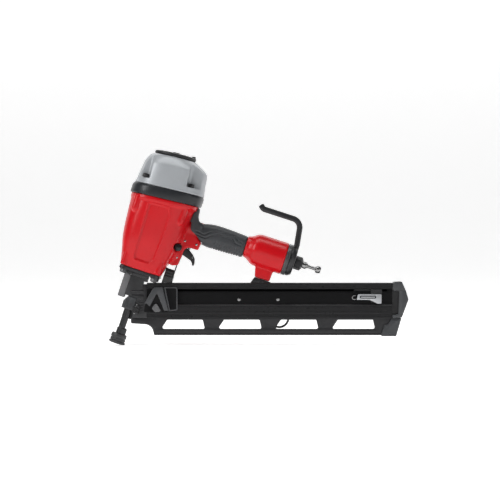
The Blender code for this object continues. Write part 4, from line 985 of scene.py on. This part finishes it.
def build_rear_cover():
    cap = rounded([(249.2, 116.9, 1), (262.1, 117.7, 2), (269.4, 101.6, 3), (274.3, 84.9, 3),
                   (262.1, 52.2, 1), (245.5, 51.4, 1), (245.5, 56.7, 0.8), (255.7, 58.2, 1.5),
                   (257.7, 100.3, 1.5), (248, 101, 1), (245.5, 111.8, 0.5)])
    tabs = [box((245.6, -16.4, 103), (250.5, 16.4, 111.5)), box((244.4, -9, 51.8), (258, 9, 110)),
            box((245.4, -13, 109), (249.5, 13, 114.9))]
    cuts = both_sides((251.4, 15.9, 100.9), (280, 20, 101.7))
    dress(shape("rear_cover", extrude(cap, -16.6, 16.6, ease=2.2, segments=2), TOOL, tabs, cuts, ease=0.3),
          "plastic", "tool", "rear_cap")


def build_rear_skid():
    guard = rounded([(262.1, 50.9, 0.5), (252.5, 17.6, 1.5), (226.2, 17.6, 1), (225.5, 20.7, 0),
                     (231.4, 38.5, 1), (237.8, 39.7, 1), (245.2, 50.9, 0.5)])
    cuts = both_sides((220, 8.1, 21.4), (262, 9.1, 22.2))
    tongue = extrude([(243, 52.4), (235.6, 41), (229.8, 39.6), (224.2, 21.6), (224.2, 20.2), (240, 20.2),
                      (256.6, 52.4)], -5.4, 5.4)
    dress(shape("rear_skid", extrude(guard, -9, 9, ease=1.5, segments=2), TOOL, [tongue], cuts, ease=0.2),
          "plastic", "tool", "rear_guard")


def build_leg_clamp():
    outline = [(197.6, magazine_height(197.6) + GAP), (233.4, magazine_height(233.4) + GAP), (229.4, 51.9),
               (201.6, 51.9), (199.4, 46)]
    bosses = [rod(3.6, low, low + 1.9, (215.5, 0, 46.5), "v", 40, 0.4) for low in (-12.9, 11)]
    dress(shape("leg_foot", extrude(outline, -12.5, 12.5, ease=0.9), HEAD, bosses), "black", "tool",
          "leg_clamp")


def build_pusher_grip():
    handle = rounded([(179.7, 84.4, 0.8), (182.4, 94.4, 1.5), (225.1, 94.4, 1.5), (225.1, 77.2, 2),
                      (217.8, 77.2, 2), (203.5, 84.2, 2)])
    slot = rounded([(185.4, 86.6, 2.4), (185.4, 91.8, 2.4), (215.4, 91.8, 2.4), (215.4, 86.6, 2.4)])
    bar = rounded([(187.4, 88.1, 1), (187.4, 90.3, 1), (213.4, 90.3, 1), (213.4, 88.1, 1)])
    lines = [box((x, -17, 76), (x + 0.8, -15.9, 96)) for x in (218.6, 220.8, 223)]
    piece = shape("pusher_grip", extrude(handle, -16.4, -12.5, ease=0.8), TOOL,
                  cuts=[extrude(slot, -20, -14.4)] + lines, ease=0.15)
    rib = shape("rib", extrude(bar, -15.8, -14.3, ease=0.4), TOOL)
    grip = dress(joined(piece, rib), "aluminium", "pusher_unit", "pusher_handle")
    # The floor of the slot gets painted shade: a darker look where shade falls in it.
    inlay(grip, "painted_recess_shade", lambda centre, normal: abs(centre.y + 14.4) < 0.15 and normal.y < -0.9)


def build_spring_clip():
    there = [radians(50 + 260 * k / 40) for k in range(41)]
    arc = [(175.4 + radius * cos(a), 88.6 + radius * sin(a))
           for radius, angles in ((4.3, there), (2.9, there[::-1])) for a in angles]
    dress(shape("spring_clip", extrude(arc, -15.6, -12.5), TOOL, ease=0.3), "steel", "pusher_unit",
          "pusher_clip")


# CAD nodes that keep their own shape, and the look each gets.
KEPT = {"cylinder_sleeve": "aluminium", "piston_bumper": "pad", "piston_driver": "steel",
        "head_valve": "black", "head_valve_spring": "steel", "valve_body": "black", "valve_stem": "steel",
        "valve_spring": "steel", "depth_screw": "steel", "contact_spring": "steel", "pusher": "steel_black",
        "pusher_spring": "steel", "end_stop": "black"}


def dress_kept():
    for name, look in KEPT.items():
        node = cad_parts[name]
        if not node.material_slots:
            node.data.materials.append(None)
        for slot in node.material_slots:
            slot.material = material(look)


# ---------------------------------------------------------------- studio
CAMERA_PLACE = (-0.0152, -2.8, 0.1746)
CAMERA_LENS = 110.0
WHITE = (1.0, 1.0, 1.0, 1.0)
WORLD_LIGHT = 0.10
# Soft lamps: name, place, target, width and height in metres, and power in watts.
LIGHTS = [("key", (-1.9, -1.2, 1.3), (-0.1, 0.0, 0.18), (0.5, 1.4), 21.0),
          ("top", (0.0, -0.3, 1.9), (0.0, 0.0, 0.15), (1.6, 0.7), 14.0),
          ("fill", (1.8, -1.4, 0.8), (0.0, 0.0, 0.15), (0.5, 1.2), 3.5),
          ("back", (0.0, 2.2, 2.2), (0.0, 0.0, 0.2), (3.0, 0.8), 14.0)]


def build_backdrop():
    """A pale sweep of paper that curves up behind the tool."""
    bend = [(4.0 + 1.5 * sin(a), 1.5 - 1.5 * cos(a)) for a in [pi / 2 * k / 16 for k in range(17)]]
    profile = [(-9.0, 0.0), *bend, (5.5, 7.0)]
    sweep = bmesh.new()
    rows = [[sweep.verts.new((x, y, z)) for x in (-9.0, 9.0)] for y, z in profile]
    for first, second in zip(rows, rows[1:]):
        sweep.faces.new([first[0], first[1], second[1], second[0]])
    mesh = bpy.data.meshes.new("sweep")
    sweep.to_mesh(mesh)
    sweep.free()
    mesh.shade_smooth()
    floor = bpy.data.objects.new("sweep", mesh)
    bpy.context.collection.objects.link(floor)
    paper = bpy.data.materials.new("paper")
    paper.use_nodes = True
    Nodes(paper.node_tree).fill(paper.node_tree.nodes["Principled BSDF"], {
        "Base Color": (0.93, 0.93, 0.93, 1.0), "Roughness": 0.9, "Specular IOR Level": 0.1,
        "Emission Color": WHITE, "Emission Strength": 0.60})
    mesh.materials.append(paper)


def build_lights():
    for name, place, target, size, watts in LIGHTS:
        data = bpy.data.lights.new(name, "AREA")
        data.shape, data.size, data.size_y = "RECTANGLE", *size
        data.energy = watts
        lamp = bpy.data.objects.new(name, data)
        bpy.context.collection.objects.link(lamp)
        lamp.location = place
        lamp.rotation_euler = (Vector(target) - Vector(place)).to_track_quat("-Z", "Y").to_euler()


def build_world():
    """A weak white light from all round, which the camera itself sees as plain white."""
    world = bpy.data.worlds.new("studio")
    world.use_nodes = True
    nodes, weak = Nodes(world.node_tree), world.node_tree.nodes["Background"]
    nodes.fill(weak, {"Color": WHITE, "Strength": WORLD_LIGHT})
    mixed = nodes.add("MixShader", {0: nodes.add("LightPath")["Is Camera Ray"], 1: weak.outputs[0],
                                    2: nodes.add("Background", {"Color": WHITE})[0]})
    nodes.fill(world.node_tree.nodes["World Output"], {"Surface": mixed[0]})
    bpy.context.scene.world = world


def build_camera():
    data = bpy.data.cameras.new("camera")
    data.lens, data.sensor_width = CAMERA_LENS, 36.0
    data.clip_end = 50.0
    camera = bpy.data.objects.new("camera", data)
    bpy.context.collection.objects.link(camera)
    camera.location = CAMERA_PLACE
    camera.rotation_euler = (pi / 2, 0.0, 0.0)
    bpy.context.scene.camera = camera
    bpy.context.scene.view_settings.view_transform = "Standard"


# ---------------------------------------------------------------- everything in turn
for build in (build_housing, build_grip, build_cap, build_ring_band, build_cap_screws, build_deflector,
              build_deflector_screw, build_nose_casting, build_nose_screws, build_nose_fin,
              build_guide_block, build_depth_wheel, build_contact_shank, build_foot_pad, build_trip_arm,
              build_arm_guide, build_trigger, build_contact_lever, build_mode_knob, build_bracket_pins,
              build_end_cap, build_hook, build_inlet, build_rail, build_rail_screws, build_point_guard,
              build_sling_wire, build_latch_bracket, build_latch_button, build_side_plate, build_rear_cover,
              build_rear_skid, build_leg_clamp, build_pusher_grip, build_spring_clip, dress_kept,
              build_backdrop, build_lights, build_world, build_camera):
    build()
